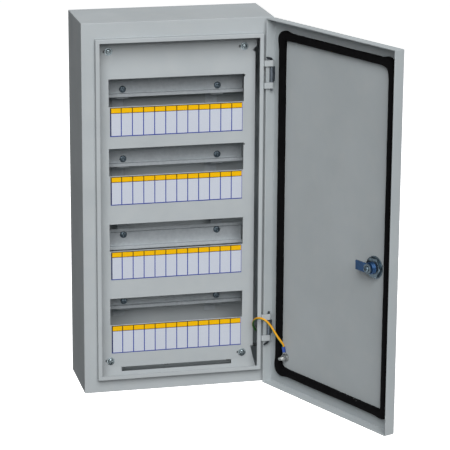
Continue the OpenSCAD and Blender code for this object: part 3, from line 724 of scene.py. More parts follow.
@cache
def fastener_tree() -> ShapeTree:
    """Builds the tree that sets one pattern on every point, along the point's axis, each turned by chance.

    Returns:
        The tree, built once.
    """
    t = ShapeTree("fasteners")
    pattern, spin, seed = t.size("Pattern", "Object"), t.size("Spin", "Float"), t.size("Seed", "Int")
    shape = t.node("GeometryNodeObjectInfo", {"Object": pattern}).outputs["Geometry"]
    along = t.out("FunctionNodeAlignRotationToVector", {"Vector": t.named("axis", "FLOAT_VECTOR")}, axis="Z")
    chance = t.node("FunctionNodeRandomValue", {2: 0.0, 3: spin, "Seed": seed}, data_type="FLOAT").outputs[1]
    turn = t.out("FunctionNodeAxisAngleToRotation", {"Axis": UP, "Angle": chance})
    both = t.out("FunctionNodeRotateRotation", {"Rotation": along, "Rotate By": turn}, rotation_space="LOCAL")
    points = t.out("GeometryNodeMeshToPoints", {"Mesh": t.source})
    t.close(t.out("GeometryNodeInstanceOnPoints", {"Points": points, "Instance": shape, "Rotation": both}))
    return t


@cache
def wire_tree() -> ShapeTree:
    """Builds the tree that draws a round wire along a path and marks the way round it.

    Returns:
        The tree, built once.
    """
    t = ShapeTree("round_wire")
    radius, step, sides = t.size("Radius", "Float"), t.size("Step", "Float"), t.size("Sides", "Int")
    path = t.out("GeometryNodeMeshToCurve", {"Mesh": t.source})
    smooth = t.out("GeometryNodeCurveSplineType", {"Curve": path}, spline_type="CATMULL_ROM")
    even = t.out("GeometryNodeResampleCurve", {"Curve": smooth, "Length": step}, mode="LENGTH")
    circle = t.out("GeometryNodeCurvePrimitiveCircle", {"Resolution": sides, "Radius": radius})
    factor = t.node("GeometryNodeSplineParameter").outputs["Factor"]
    marked = t.stored(circle, "around", "FLOAT", factor)
    t.close(t.out("GeometryNodeCurveToMesh", {"Curve": even, "Profile Curve": marked, "Fill Caps": True}))
    return t


@cache
def seal_tree() -> ShapeTree:
    """Builds the tree that lays a foam bead along a closed path, swollen where marked and slightly wavy.

    Returns:
        The tree, built once.
    """
    t = ShapeTree("foam_bead")
    profile, step, wave = t.size("Profile", "Object"), t.size("Step", "Float"), t.size("Wave", "Float")
    path = t.out("GeometryNodeMeshToCurve", {"Mesh": t.source})
    even = t.out("GeometryNodeResampleCurve", {"Curve": path, "Length": step}, mode="LENGTH")
    place = t.out("GeometryNodeInputPosition")
    spine = t.stored(even, "spine", "FLOAT_VECTOR", place)
    shape = t.node("GeometryNodeObjectInfo", {"Object": profile}).outputs["Geometry"]
    section = t.out("GeometryNodeMeshToCurve", {"Mesh": shape})
    swept = t.out("GeometryNodeCurveToMesh", {"Curve": spine, "Profile Curve": section, "Fill Caps": False})
    centre, swell = t.named("spine", "FLOAT_VECTOR"), t.named("swell", "FLOAT")
    away = t.out("ShaderNodeVectorMath", {0: place, 1: centre}, operation="SUBTRACT")
    flat = t.out("ShaderNodeVectorMath", {0: away, 1: (1.0, 0.0, 1.0)}, operation="MULTIPLY")
    noise = t.out("ShaderNodeTexNoise", {"Vector": place, "Scale": 26.0, "Detail": 3.0})
    centred = t.out("ShaderNodeMath", {0: noise, 1: 0.5}, operation="SUBTRACT")
    wavy = t.out("ShaderNodeMath", {0: centred, 1: wave}, operation="MULTIPLY")
    total = t.out("ShaderNodeMath", {0: wavy, 1: swell}, operation="ADD")
    offset = t.out("ShaderNodeVectorMath", {0: flat, "Scale": total}, operation="SCALE")
    t.close(t.out("GeometryNodeSetPosition", {"Geometry": swept, "Offset": offset}))
    return t


# ---------------------------------------------------------------- reading the CAD


def merged(node: str) -> bmesh.types.BMesh:
    """Copies a CAD node and merges the corners of its loose triangles.

    Args:
        node: The node's name.

    Returns:
        The merged copy.
    """
    bm = bmesh.new()
    bm.from_mesh(frame["nodes"][node].data)
    bmesh.ops.remove_doubles(bm, verts=bm.verts, dist=MERGE_WITHIN)
    return bm


def node_points(node: str, on_door: bool) -> np.ndarray:
    """Reads a node's vertices.

    Args:
        node: The node's name.
        on_door: Whether they are turned back to the closed door's place.

    Returns:
        The vertices, one row each.
    """
    data = frame["nodes"][node].data
    points = np.empty(3 * len(data.vertices))
    data.vertices.foreach_get("co", points)
    points = points.reshape(-1, 3)
    return DOOR_LINE.closed(points) if on_door else points


def closed_box(node: str) -> tuple[np.ndarray, np.ndarray]:
    """Gives the lowest and highest corner of a node on the door, with the door closed."""
    points = node_points(node, True)
    return points.min(0), points.max(0)


def islands(node: str, on_door: bool = False) -> list[tuple[np.ndarray, np.ndarray]]:
    """Finds the separate solids of a node.

    Args:
        node: The node's name.
        on_door: Whether they are turned back to the closed door's place.

    Returns:
        Lowest and highest corner of each solid, in order of height and then of x.
    """
    bm = merged(node)
    left = set(bm.verts)
    boxes = []
    while left:
        stack, group = [left.pop()], []
        while stack:
            here = stack.pop()
            group.append(here.co[:])
            near = {edge.other_vert(here) for edge in here.link_edges} & left
            left -= near
            stack += near
        points = np.array(group)
        points = DOOR_LINE.closed(points) if on_door else points
        boxes.append((points.min(0), points.max(0)))
    bm.free()
    return sorted(boxes, key=lambda b: (round(float(b[0][2]), 4), round(float(b[0][0]), 4)))


# ---------------------------------------------------------------- meshes


def mesh_of(bm: bmesh.types.BMesh, name: str, crease: float) -> bpy.types.Mesh:
    """Turns a bmesh into a mesh that is smooth up to an angle.

    Args:
        bm: The bmesh, which is freed.
        name: The mesh's name.
        crease: Angle in degrees above which an edge stays sharp.

    Returns:
        The mesh.
    """
    made = bpy.data.meshes.new(name)
    bm.to_mesh(made)
    bm.free()
    made.shade_smooth()
    made.set_sharp_from_angle(angle=math.radians(crease))
    return made


def turned(
    profile: Outline, sectors: int = 48, ring: bool = False, shape: Shaper | None = None, crease: float = 35.0
) -> bpy.types.Mesh:
    """Turns an outline about Z into a closed solid.

    Args:
        profile: Radius and height of each point; from pole to pole, or round a closed loop.
        sectors: Steps round the axis.
        ring: Whether the outline is a closed loop.
        shape: Changes radius and height from radius, height and angle.
        crease: Angle in degrees above which an edge stays sharp.

    Returns:
        The solid's mesh.
    """
    outline = np.array(profile, float)
    count = len(outline)
    rho = np.repeat(outline[:, 0][:, None], sectors, 1)
    z = np.repeat(outline[:, 1][:, None], sectors, 1)
    theta = np.repeat((np.arange(sectors) * 2 * math.pi / sectors)[None, :], count, 0)
    if shape is not None:
        rho, z = shape(rho, z, theta)
    points = np.stack([rho * np.cos(theta), rho * np.sin(theta), z], -1)
    bm = bmesh.new()
    grid = [[bm.verts.new(p) for p in row] for row in points]
    for i in range(count if ring else count - 1):
        j = (i + 1) % count
        for k in range(sectors):
            m = (k + 1) % sectors
            bm.faces.new((grid[i][k], grid[i][m], grid[j][m], grid[j][k]))
    bmesh.ops.remove_doubles(bm, verts=bm.verts, dist=1e-7)
    bmesh.ops.dissolve_degenerate(bm, edges=bm.edges, dist=1e-8)
    bmesh.ops.recalc_face_normals(bm, faces=bm.faces)
    return mesh_of(bm, "turned", crease)


def washer_outline(low_r: float, high_r: float, thick: float, soft: float) -> Outline:
    """Gives the closed outline of a ring with softened corners, standing on z = 0.

    Args:
        low_r: Inner radius.
        high_r: Outer radius.
        thick: Thickness.
        soft: Corner radius.

    Returns:
        The outline, for turned with ring set.
    """
    left, right, top = low_r + soft, high_r - soft, thick - soft
    points: Outline = []
    for cx, cz, start in ((right, top, 0), (left, top, 90), (left, soft, 180), (right, soft, 270)):
        for step in range(4):
            a = math.radians(start + 30 * step)
            points.append((cx + soft * math.cos(a), cz + soft * math.sin(a)))
    return points


@dataclass(frozen=True)
class PanHead:
    """A pan-headed screw whose head stands on the plane z = 0.

    Args:
        radius: Head radius.
        height: Head height.
        shank: Shank radius.
        length: Shank length.
        drive: Recess in the head.
        sectors: Steps round the axis.
        dome: How square the head's dome is, where two is a half ellipse.
    """

    radius: float
    height: float
    shank: float
    length: float = 0.0
    drive: Drive = Drive.CROSS
    sectors: int = 64
    dome: float = 2.9

    def recess(self, rho: np.ndarray, z: np.ndarray, theta: np.ndarray) -> tuple[np.ndarray, np.ndarray]:
        """Sinks the drive's recess into the top of the head.

        Args:
            rho: Radii.
            z: Heights.
            theta: Angles.

        Returns:
            The radii and the sunk heights.
        """
        x, y = np.abs(rho * np.cos(theta)), np.abs(rho * np.sin(theta))
        half_width, reach, deep = self.drive.value
        wide, reach = half_width * self.radius, reach * self.radius
        soft = 0.07 * self.radius

        def inside(distance: np.ndarray) -> np.ndarray:
            """Gives a soft step from nought to one."""
            return np.clip(distance / soft + 0.5, 0, 1)

        out = np.clip(rho / reach, 0, 1)
        flare = wide * (1.25 - 0.35 * out)
        arm = inside(flare - y) * inside(reach - x)
        if self.drive is Drive.CROSS:
            arm = np.maximum(arm, inside(flare - x) * inside(reach - y))
            arm = np.maximum(arm, inside(0.24 * self.radius - rho))
        sunk = np.maximum(z - deep * self.height * (1.15 - 0.45 * out) * arm, 0.08 * self.height)
        return rho, np.where(z > 0.02 * self.height, sunk, z)

    def mesh(self) -> bpy.types.Mesh:
        """Builds the screw.

        Returns:
            The screw's mesh.
        """
        r, h, shank, tip = self.radius, self.height, self.shank, -self.length
        points = [(rho * r, h * (1 - rho**self.dome) ** (1 / self.dome)) for rho in np.linspace(0.0, 0.80, 15)]
        for angle in np.linspace(0.62, 1.0, 7) * math.pi / 2:
            across, up = math.sin(angle), max(math.cos(angle), 0.0)
            points.append((across ** (2 / self.dome) * r, h * up ** (2 / self.dome)))
        points += [(0.97 * r, 0.0), (shank + 0.2 * MM, 0.0), (shank, -0.25 * MM)]
        points += [(shank, tip + 0.8 * MM), (shank - 0.6 * MM, tip), (0.0, tip)]
        return turned(points, self.sectors, shape=self.recess, crease=40)


@dataclass(frozen=True)
class HexNut:
    """A chamfered hexagonal nut whose seat is the plane z = 0.

    Args:
        across: Width across the flats.
        height: Nut height.
        bore: Bore radius.
    """

    across: float
    height: float
    bore: float

    def flats(self, rho: np.ndarray, z: np.ndarray, theta: np.ndarray) -> tuple[np.ndarray, np.ndarray]:
        """Draws the outer wall in to the six flats, with a chamfered crown at each end.

        Args:
            rho: Radii.
            z: Heights.
            theta: Angles.

        Returns:
            The radii on the flats and the heights.
        """
        half = self.across / 2
        flat = half / np.cos(np.mod(theta, math.pi / 3) - math.pi / 6)
        crown = half + np.clip(np.minimum(z, self.height - z), 0, None) * 1.9
        return np.where(rho > 0.92 * half, np.minimum(flat, crown), rho), z

    def mesh(self) -> bpy.types.Mesh:
        """Builds the nut.

        Returns:
            The nut's mesh.
        """
        half, h, bore = self.across / 2, self.height, self.bore
        lead = min(0.35 * MM, 0.2 * h)
        wall = [(half * 1.1, t * h) for t in (0.04, 0.10, 0.16, 0.24, 0.76, 0.84, 0.90, 0.96)]
        hole = [(bore + lead, h), (bore, h - lead), (bore, lead), (bore + lead, 0.0)]
        return turned([(half, 0.0), *wall, (half, h), *hole], 72, ring=True, shape=self.flats, crease=22)


@dataclass(frozen=True)
class Stud:
    """A threaded stud that stands on the plane z = 0.

    Args:
        radius: Thread radius.
        length: Length.
        pitch: Thread pitch.
    """

    radius: float
    length: float
    pitch: float

    def mesh(self) -> bpy.types.Mesh:
        """Builds the stud.

        Returns:
            The stud's mesh.
        """
        half = 0.5 * self.pitch
        points: Outline = [(0.0, 0.0), (self.radius, 0.0), (self.radius, 0.01 * MM)]
        z = self.pitch
        while z < self.length - 1.6 * self.pitch:
            points += [(self.radius - half, z), (self.radius, z + half)]
            z += self.pitch
        points += [(self.radius - half, self.length), (0.0, self.length)]
        return turned(points, 32, crease=25)


@dataclass(frozen=True)
class StarWasher:
    """A toothed lock washer on the plane z = 0.

    Args:
        outer: Outer radius.
        inner: Inner radius.
        thick: Thickness.
        gap: Depth of the gaps between the teeth.
        teeth: Number of teeth.
    """

    outer: float
    inner: float
    thick: float
    gap: float
    teeth: int = 10

    def notch(self, rho: np.ndarray, z: np.ndarray, theta: np.ndarray) -> tuple[np.ndarray, np.ndarray]:
        """Cuts the gaps and twists the teeth.

        Args:
            rho: Radii.
            z: Heights.
            theta: Angles.

        Returns:
            The notched radii and twisted heights.
        """
        wave = np.mod(theta * self.teeth / (2 * math.pi), 1.0) - 0.5
        in_gap = np.abs(wave) > 0.36
        root = self.outer - self.gap
        twist = np.where((rho > root) & ~in_gap, 0.16 * self.thick * np.sin(2 * math.pi * wave), 0.0)
        return np.where((rho > root) & in_gap, root, rho), np.clip(z + twist, 0, self.thick)

    def mesh(self) -> bpy.types.Mesh:
        """Builds the washer.

        Returns:
            The washer's mesh.
        """
        low, high, t = self.inner, self.outer, self.thick
        mid = high - self.gap
        step = mid + 0.01 * MM
        points = [(low, 0.0), (mid, 0.0), (step, 0.05 * t), (high, 0.15 * t), (high, 0.85 * t), (step, 0.95 * t)]
        return turned([*points, (mid, t), (low, t)], 12 * self.teeth, True, self.notch, 30)


@dataclass(frozen=True)
class EdgeWork:
    """How a copy of a CAD node is softened along its edges.

    Args:
        fold: Outer radius of a fold.
        trim: Radius of a cut edge.
        reach: Width that the sheet needs on both sides of an edge that counts as a fold.
        inner: Radius of the inside of a fold.
        segments: Steps across a rounded edge.
    """

    fold: float = 1.3 * MM
    trim: float = 0.22 * MM
    reach: float = 4.0 * MM
    inner: float = 0.5 * MM
    segments: int = 3

    def width(self, edge: bmesh.types.BMEdge) -> float:
        """Chooses how far an edge is softened.

        Args:
            edge: The edge, which is sharp.

        Returns:
            The radius, or nought for an edge that stays as it is.
        """
        foot, along = edge.verts[0].co, edge.verts[1].co - edge.verts[0].co
        if along.length < 1e-7:
            return 0.0
        along = along.normalized()
        spans = []
        for face in edge.link_faces:
            offsets = [v.co - foot for v in face.verts]
            spans.append(max((o - o.dot(along) * along).length for o in offsets))
        folded = min(spans) > self.reach and edge.calc_length() > 2.5 * self.fold
        if edge.calc_face_angle_signed(0.0) > 0:
            return self.fold if folded else self.trim
        return self.inner if folded else 0.0

    def copy(self, node: str) -> bpy.types.Mesh:
        """Copies a node in clean faces, with the width of each edge stored as its bevel weight.

        Args:
            node: The node's name.

        Returns:
            The copy, whose weight of one stands for a fold's radius.
        """
        bm = merged(node)
        bmesh.ops.dissolve_degenerate(bm, edges=bm.edges, dist=1e-6)
        bmesh.ops.dissolve_limit(
            bm, angle_limit=math.radians(0.6), verts=bm.verts, edges=bm.edges, use_dissolve_boundaries=False
        )
        bm.normal_update()
        layer = bm.edges.layers.float.new("bevel_weight_edge")
        for edge in bm.edges:
            paired = len(edge.link_faces) == 2
            flat = paired and abs(edge.calc_face_angle_signed(0.0)) < FLAT_BELOW
            edge[layer] = self.width(edge) / self.fold if paired and not flat else 0.0
            edge.smooth = flat or edge[layer] > 0
        made = bpy.data.meshes.new(node)
        bm.to_mesh(made)
        bm.free()
        made.shade_smooth()
        return made

    def rounded(self, node: str) -> bpy.types.Mesh:
        """Softens a node's edges and cuts the result into triangles that keep its shading.

        Args:
            node: The node's name.

        Returns:
            A plain mesh in the node's place.
        """
        carrier = put("carrier", self.copy(node))
        work: tuple[tuple[str, dict[str, Any]], ...] = (
            ("BEVEL", {
                "limit_method": "WEIGHT", "width": self.fold, "segments": self.segments, "use_clamp_overlap": False
            }),
            ("WEIGHTED_NORMAL", {"mode": "FACE_AREA", "weight": 90, "keep_sharp": True}),
            ("TRIANGULATE", {"keep_custom_normals": True}),
        )
        for kind, settings in work:
            modifier = carrier.modifiers.new(kind.lower(), kind)
            for key, value in settings.items():
                setattr(modifier, key, value)
        return baked(carrier)


SHEET = EdgeWork()
PANEL = EdgeWork(fold=0.5 * MM, trim=0.3 * MM, inner=0.4 * MM)
THIN = EdgeWork(fold=0.9 * MM, trim=0.2 * MM, reach=2.5 * MM, inner=0.4 * MM)
BLOCK = EdgeWork(fold=0.5 * MM, trim=0.3 * MM, reach=3.0 * MM, inner=0.0)
FINE = EdgeWork(fold=0.25 * MM, trim=0.2 * MM, reach=3.0 * MM, inner=0.0, segments=2)
CARD = EdgeWork(fold=0.12 * MM, trim=0.12 * MM, reach=3.0 * MM, inner=0.0, segments=2)


# ---------------------------------------------------------------- sub-assemblies


class SubAssembly:
    """A group of pieces that are made and reported together."""

    on_door = False
    body = Body.ENCLOSURE

    def place(
        self, mesh: bpy.types.Mesh, name: str, node: str, finish: Finish, body: Body | None = None
    ) -> bpy.types.Object:
        """Puts a finished mesh in the scene in place of a CAD node.

        Args:
            mesh: The piece's mesh, in its place.
            name: The piece's name.
            node: The CAD node that it stands for.
            finish: Its finish.
            body: The body it rides on; the sub-assembly's own if left out.

        Returns:
            The piece.
        """
        piece = self.shown(mesh, name, node, finish)
        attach(piece, (body or self.body).value)
        return piece

    def shown(self, mesh: bpy.types.Mesh, name: str, node: str, finish: Finish) -> bpy.types.Object:
        """Puts a finished mesh in the scene without a body.

        Args:
            mesh: The piece's mesh, in its place.
            name: The piece's name.
            node: The CAD node that it stands for.
            finish: Its finish.

        Returns:
            The piece.
        """
        material = dressed(finish)
        if not mesh.materials:
            mesh.materials.append(material)
        mesh.name = name
        piece = put(name, mesh)
        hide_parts(node)
        LOG.info("%s: %d faces", name, len(mesh.polygons))
        return piece

    def softened(
        self, node: str, finish: Finish, edges: EdgeWork = SHEET, body: Body | None = None
    ) -> bpy.types.Object:
        """Dresses a CAD node with a copy that has softened edges.

        Args:
            node: The node's name.
            finish: Its finish.
            edges: How its edges are softened.
            body: The body it rides on.

        Returns:
            The piece.
        """
        return self.place(edges.rounded(node), node + "_dressed", node, finish, body)

    def scattered(
        self,
        pattern: bpy.types.Mesh,
        seats: Sequence[Sequence[float]],
        axis: Sequence[float],
        finish: Finish,
        spin: float = 0.0,
        seed: int = 1,
    ) -> bpy.types.Mesh:
        """Sets a pattern on every seat with the fastener tree.

        Args:
            pattern: Mesh that stands on z = 0.
            seats: Where each one stands.
            axis: The direction that the pattern's z takes.
            finish: The finish.
            spin: Largest chance turn about the axis, in radians.
            seed: Seed of the chance turns.

        Returns:
            One mesh of them all, in place.
        """
        points = bpy.data.meshes.new("seats")
        points.from_pydata([tuple(s) for s in seats], [], [])
        layer = points.attributes.new("axis", "FLOAT_VECTOR", "POINT")
        layer.data.foreach_set("vector", np.tile(np.array(axis, np.float32), len(seats)))
        model = put("pattern", pattern)
        made = fastener_tree().run(points, finish, {"Pattern": model, "Spin": spin, "Seed": seed})
        bpy.data.objects.remove(model)
        return self.hung(made)

    def hung(self, mesh: bpy.types.Mesh) -> bpy.types.Mesh:
        """Turns a mesh built in the closed door's place to the open door, where the sub-assembly is on it.

        Args:
            mesh: The mesh, which is changed.

        Returns:
            The same mesh.
        """
        if self.on_door:
            points = np.empty(3 * len(mesh.vertices))
            mesh.vertices.foreach_get("co", points)
            mesh.vertices.foreach_set("co", DOOR_LINE.opened(points.reshape(-1, 3)).ravel())
            mesh.update()
        return mesh

    def seats(self, node: str, axis: Sequence[float], back: float) -> tuple[list[list[float]], list[float]]:
        """Finds where each solid of a node is seated, and how far it reaches behind its seat.

        Args:
            node: The node's name.
            axis: The direction that the solids face, along x, y or z.
            back: Distance of the seat behind the solid's face.

        Returns:
            One seat for each solid, and one depth.
        """
        found, depths = [], []
        way = int(np.argmax(np.abs(axis)))
        for low, high in islands(node, self.on_door):
            seat = [float(v) for v in (low + high) / 2]
            seat[way] = float(high[way]) - back if axis[way] > 0 else float(low[way]) + back
            found.append(seat)
            depths.append(float(high[way] - low[way]) - back)
        return found, depths

    def screwed(
        self,
        node: str,
        names: Sequence[str],
        head: PanHead,
        finish: Finish,
        spin: float,
        seed: int,
        axis: Sequence[float] = OUTWARD,
    ) -> None:
        """Puts screws on the seats of a node's solids.

        Args:
            node: The node's name.
            names: Name of the piece, or of the two pieces where short and long screws share the node.
            head: The screw, without its length.
            finish: Its finish.
            spin: Largest chance turn about the axis, in radians.
            seed: Seed of the chance turns.
            axis: The direction that the heads face.
        """
        seats, depths = self.seats(node, axis, head.height)
        for name, depth in zip(names, (min(depths), max(depths))):
            chosen = [s for s, d in zip(seats, depths) if abs(d - depth) < 0.1 * MM]
            made = self.scattered(replace(head, length=depth).mesh(), chosen, axis, finish, spin, seed)
            self.place(made, name, node, finish)


@dataclass
class Enclosure(SubAssembly):
    """The folded steel box, its gland plate and its hinge arms.

    Args:
        screw: A gland plate screw.
        grommet_r: Radius of a grommet's neck.
        grommet_lip: How far a grommet's lips stand out.
        lip_t: Thickness of a lip.
    """

    screw: PanHead = PanHead(4.0 * MM, 2.0 * MM, 2.0 * MM, sectors=40)
    grommet_r: float = 12.5 * MM
    grommet_lip: float = 2.5 * MM
    lip_t: float = 2.0 * MM

    def grommet(self, h: float) -> bpy.types.Mesh:
        """Builds a membrane grommet with stepped rings.

        Args:
            h: Height over both lips.

        Returns:
            The grommet, standing on z = 0.
        """
        r, edge, t, soft = self.grommet_r, self.grommet_r + self.grommet_lip, self.lip_t, 0.3 * MM
        top = [(0.0, h), (0.25 * r, h), (0.27 * r, h - 0.5 * MM), (0.5 * r, h - 0.6 * MM), (0.52 * r, h)]
        top += [(0.75 * r, h), (0.77 * r, h - 0.7 * MM), (0.95 * r, h - 0.8 * MM), (r, h)]
        rim = [(edge - 2 * soft, h), (edge, h - 2 * soft), (edge, h - t + soft), (edge - soft, h - t)]
        neck = [(r, h - t), (r, t), (edge - soft, t), (edge, t - soft), (edge, 2 * soft)]
        foot = [(edge - 2 * soft, 0.0), (0.9 * r, 0.0), (0.85 * r, 1.0 * MM), (0.3 * r, 0.8 * MM), (0.0, 0.6 * MM)]
        return turned(top + rim + neck + foot, 48, crease=50)

    def build(self) -> None:
        """Makes the box's own pieces."""
        for node, finish, edges in (
            ("enclosure_shell", BOX_PAINT, SHEET),
            ("gland_plate", BOX_PAINT, FINE),
            ("gland_plate_seal", SEAL_RUBBER, FINE),
            ("hinge_arms_upper", BOX_PAINT, THIN),
            ("hinge_arms_lower", BOX_PAINT, THIN),
        ):
            self.softened(node, finish, edges)
        low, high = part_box("cable_grommets")
        height = high[2] - low[2]
        seats, _ = self.seats("cable_grommets", UP, float(height))
        rubber = self.scattered(self.grommet(height), seats, UP, GROMMET_RUBBER)
        self.place(rubber, "grommets", "cable_grommets", GROMMET_RUBBER)
        self.screwed("gland_plate_screws", ("gland_screws",), self.screw, ZINC, 3.0, 11, UP)


@dataclass
class Chassis(SubAssembly):
    """Rails that carry the breakers, on brackets welded to the back wall, and the panel's pillars.

    Args:
        screw: A rail screw.
    """

    screw: PanHead = PanHead(5.7 * MM, 3.4 * MM, 2.4 * MM)

    def build(self) -> None:
        """Makes the chassis."""
        for row in ROWS:
            for node in (f"din_rail_{row}", f"rail_bracket_{row}_left", f"rail_bracket_{row}_right"):
                self.softened(node, RAIL_PAINT, THIN)
        self.screwed("din_rail_screws", ("rail_screws",), self.screw, DARK_STEEL, 3.0, 5)
        self.softened("panel_pillars", ZINC, FINE)


@dataclass
class InnerPanel(SubAssembly):
    """The panel with its breaker windows, fixing screws and printed label strips.

    Args:
        screw: A fixing screw.
        washer_bore: Bore radius of the washer under it.
        cells: Modules on a label strip.
    """

    screw: PanHead = PanHead(4.6 * MM, 2.8 * MM, 2.4 * MM)
    washer_bore: float = 2.6 * MM
    cells: int = 12

    def label(self, node: str) -> None:
        """Dresses one label strip and lays its print out in millimetres.

        Args:
            node: The strip's CAD node.
        """
        low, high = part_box(node)
        pitch, height = (high[0] - low[0]) / self.cells / MM, (high[2] - low[2]) / MM
        mesh = self.softened(node, PrintedCard("label_card", Slot.CARD, pitch, self.cells, height), CARD).data
        layout = mesh.uv_layers.new(name="card")
        for corner in mesh.loops:
            point = mesh.vertices[corner.vertex_index].co
            layout.data[corner.index].uv = ((point.x - low[0]) / MM, (high[2] - point.z) / MM)

    def build(self) -> None:
        """Makes the panel."""
        self.softened("inner_panel", BOX_PAINT, PANEL)
        for row in ROWS:
            self.label(f"label_strip_{row}")
        self.screwed("panel_screws", ("corner_screws",), self.screw, SCREW_ZINC, 1.2, 3)
        low, high = islands("panel_washers")[0]
        outer, thick = float(high[0] - low[0]) / 2, float(high[1] - low[1])
        washer = turned(washer_outline(self.washer_bore, outer, thick, 0.3 * MM), 48, ring=True)
        seats, _ = self.seats("panel_washers", OUTWARD, thick)
        made = self.scattered(washer, seats, OUTWARD, SCREW_ZINC)
        self.place(made, "corner_washers", "panel_washers", SCREW_ZINC)


@dataclass
class TerminalBars(SubAssembly):
    """Neutral and earth bars on their insulating supports.

    Args:
        screw: A bar screw.
    """

    screw: PanHead = PanHead(3.4 * MM, 1.5 * MM, 2.4 * MM, drive=Drive.SLOTTED, sectors=32)

    def build(self) -> None:
        """Makes both bars."""
        for bar, plastic, seed in (("neutral_bar", BLUE_PLASTIC, 21), ("earth_bar", GREEN_PLASTIC, 22)):
            self.softened(bar, BRASS, BLOCK)
            self.softened(bar + "_supports", plastic, BLOCK)
            self.screwed(bar + "_screws", (bar + "_clamps", bar + "_fixings"), self.screw, ZINC, 3.0, seed)


@dataclass(frozen=True)
class BeadCorner:
    """How the foam bead turns one corner of the door.

    Args:
        radius: Radius of the bead's centre line.
        swell: How much wider the bead is in the corner.
    """

    radius: float
    swell: float


@dataclass
class DoorLeaf(SubAssembly):
    """The door tray, its foam seal and its hinge brackets.

    Args:
        bead: Width of the foam bead.
        margin: Room that the straight runs leave for the swollen corners.
        bulge: How far the bead's line swings out at a corner.
        reach: How far from a corner the bead begins to swell.
        wave: Unevenness of the bead's width.
        step: Distance between two sections of the bead.
        turns: The four corners: hinge side foot and head, free side head and foot.
    """

    bead: float = 12.0 * MM
    margin: float = 1.5 * MM
    bulge: float = 2.6 * MM
    reach: float = 26.0 * MM
    wave: float = 0.24
    step: float = 3.0 * MM
    turns: tuple[BeadCorner, ...] = (
        BeadCorner(13.5 * MM, 0.75),
        BeadCorner(10.0 * MM, 0.45),
        BeadCorner(17.0 * MM, 1.05),
        BeadCorner(7.5 * MM, 0.25),
    )
    on_door = True
    body = Body.DOOR

    def path(self, low: np.ndarray, high: np.ndarray) -> bpy.types.Mesh:
        """Lays out the bead's centre line as a closed ring with a swelling mark at each corner.

        Args:
            low: Lowest corner of the bead.
            high: Highest corner of the bead.

        Returns:
            The ring, with the mark stored on its points.
        """
        inset = self.bead / 2 + self.margin
        x0, x1 = low[0] + inset, high[0] - inset
        z0, z1 = low[2] + inset, high[2] - inset
        ends = np.array(((x1, z0), (x1, z1), (x0, z1), (x0, z0)))
        outward = np.sign(ends - ends.mean(0))
        points: list[np.ndarray] = []
        for i, turn in enumerate(self.turns):
            centre = ends[i] - turn.radius * outward[i]
            for step in range(7):
                a = math.radians(270 + 90 * i + 15 * step)
                points.append(centre + turn.radius * np.array((math.cos(a), math.sin(a))))
        line, swell = [], []
        for here, there in zip(points, points[1:] + points[:1]):
            count = max(1, round(math.dist(here, there) / self.step))
            for point in (here + (there - here) * k / count for k in range(count)):
                near = min(range(4), key=lambda k: math.dist(point, ends[k]))
                share = max(0.0, 1 - math.dist(point, ends[near]) / self.reach)
                swell.append(self.turns[near].swell * share**1.3)
                x, z = point + self.bulge * share**2 * outward[near]
                line.append((float(x), float(low[1]), float(z)))
        ring = bpy.data.meshes.new("bead_path")
        ring.from_pydata(line, [(i, (i + 1) % len(line)) for i in range(len(line))], [])
        mark = ring.attributes.new("swell", "FLOAT", "POINT")
        mark.data.foreach_set("value", np.array(swell, np.float32))
        return ring

    def section(self, height: float, steps: int = 14) -> bpy.types.Mesh:
        """Draws the bead's section: flat where it lies on the door, crowned outside.

        Args:
            height: Height of the bead.
            steps: Steps across the crown.

        Returns:
            The section as a closed ring.
        """
        outline = []
        for t in (math.pi * step / steps for step in range(steps + 1)):
            across = -self.bead / 2 * math.copysign(abs(math.cos(t)) ** 0.55, math.cos(t))
            outline.append((-(math.sin(t) ** 0.45) * height, across, 0.0))
        ring = bpy.data.meshes.new("bead_profile")
        ring.from_pydata(outline, [(i, (i + 1) % len(outline)) for i in range(len(outline))], [])
        return ring

    def gasket(self) -> None:
        """Makes the foam bead."""
        low, high = closed_box("door_gasket")
        profile = put("bead_profile", self.section(float(high[1] - low[1])))
        sizes = {"Profile": profile, "Step": self.step, "Wave": self.wave}
        made = seal_tree().run(self.path(low, high), FOAM, sizes)
        bpy.data.objects.remove(profile)
        bm = bmesh.new()
        bm.from_mesh(made)
        bmesh.ops.remove_doubles(bm, verts=bm.verts, dist=1e-6)
        bmesh.ops.recalc_face_normals(bm, faces=bm.faces)
        bm.to_mesh(made)
        bm.free()
        made.shade_smooth()
        piece = self.place(self.hung(made), "foam_gasket", "door_gasket", FOAM)

    def build(self) -> None:
        """Makes the door."""
        self.softened("door_tray", DOOR_PAINT)
        self.gasket()
        for node in ("door_bracket_upper", "door_bracket_lower"):
            self.softened(node, HINGE_ZINC, BLOCK)


def drawn_wire(
    route: Sequence[Sequence[float]], radius: float, step: float, sides: int, finish: Finish
) -> bpy.types.Mesh:
    """Draws a closed round wire along a route with the wire tree.

    Args:
        route: Points of the centre line.
        radius: Wire radius.
        step: Distance between two rings.
        sides: Steps round the wire.
        finish: The finish.

    Returns:
        The wire's mesh.
    """
    line = bpy.data.meshes.new("route")
    line.from_pydata([tuple(p) for p in route], [(i, i + 1) for i in range(len(route) - 1)], [])
    made = wire_tree().run(line, finish, {"Radius": radius, "Step": step, "Sides": sides})
    made.shade_smooth()
    made.set_sharp_from_angle(angle=math.radians(50))
    return made


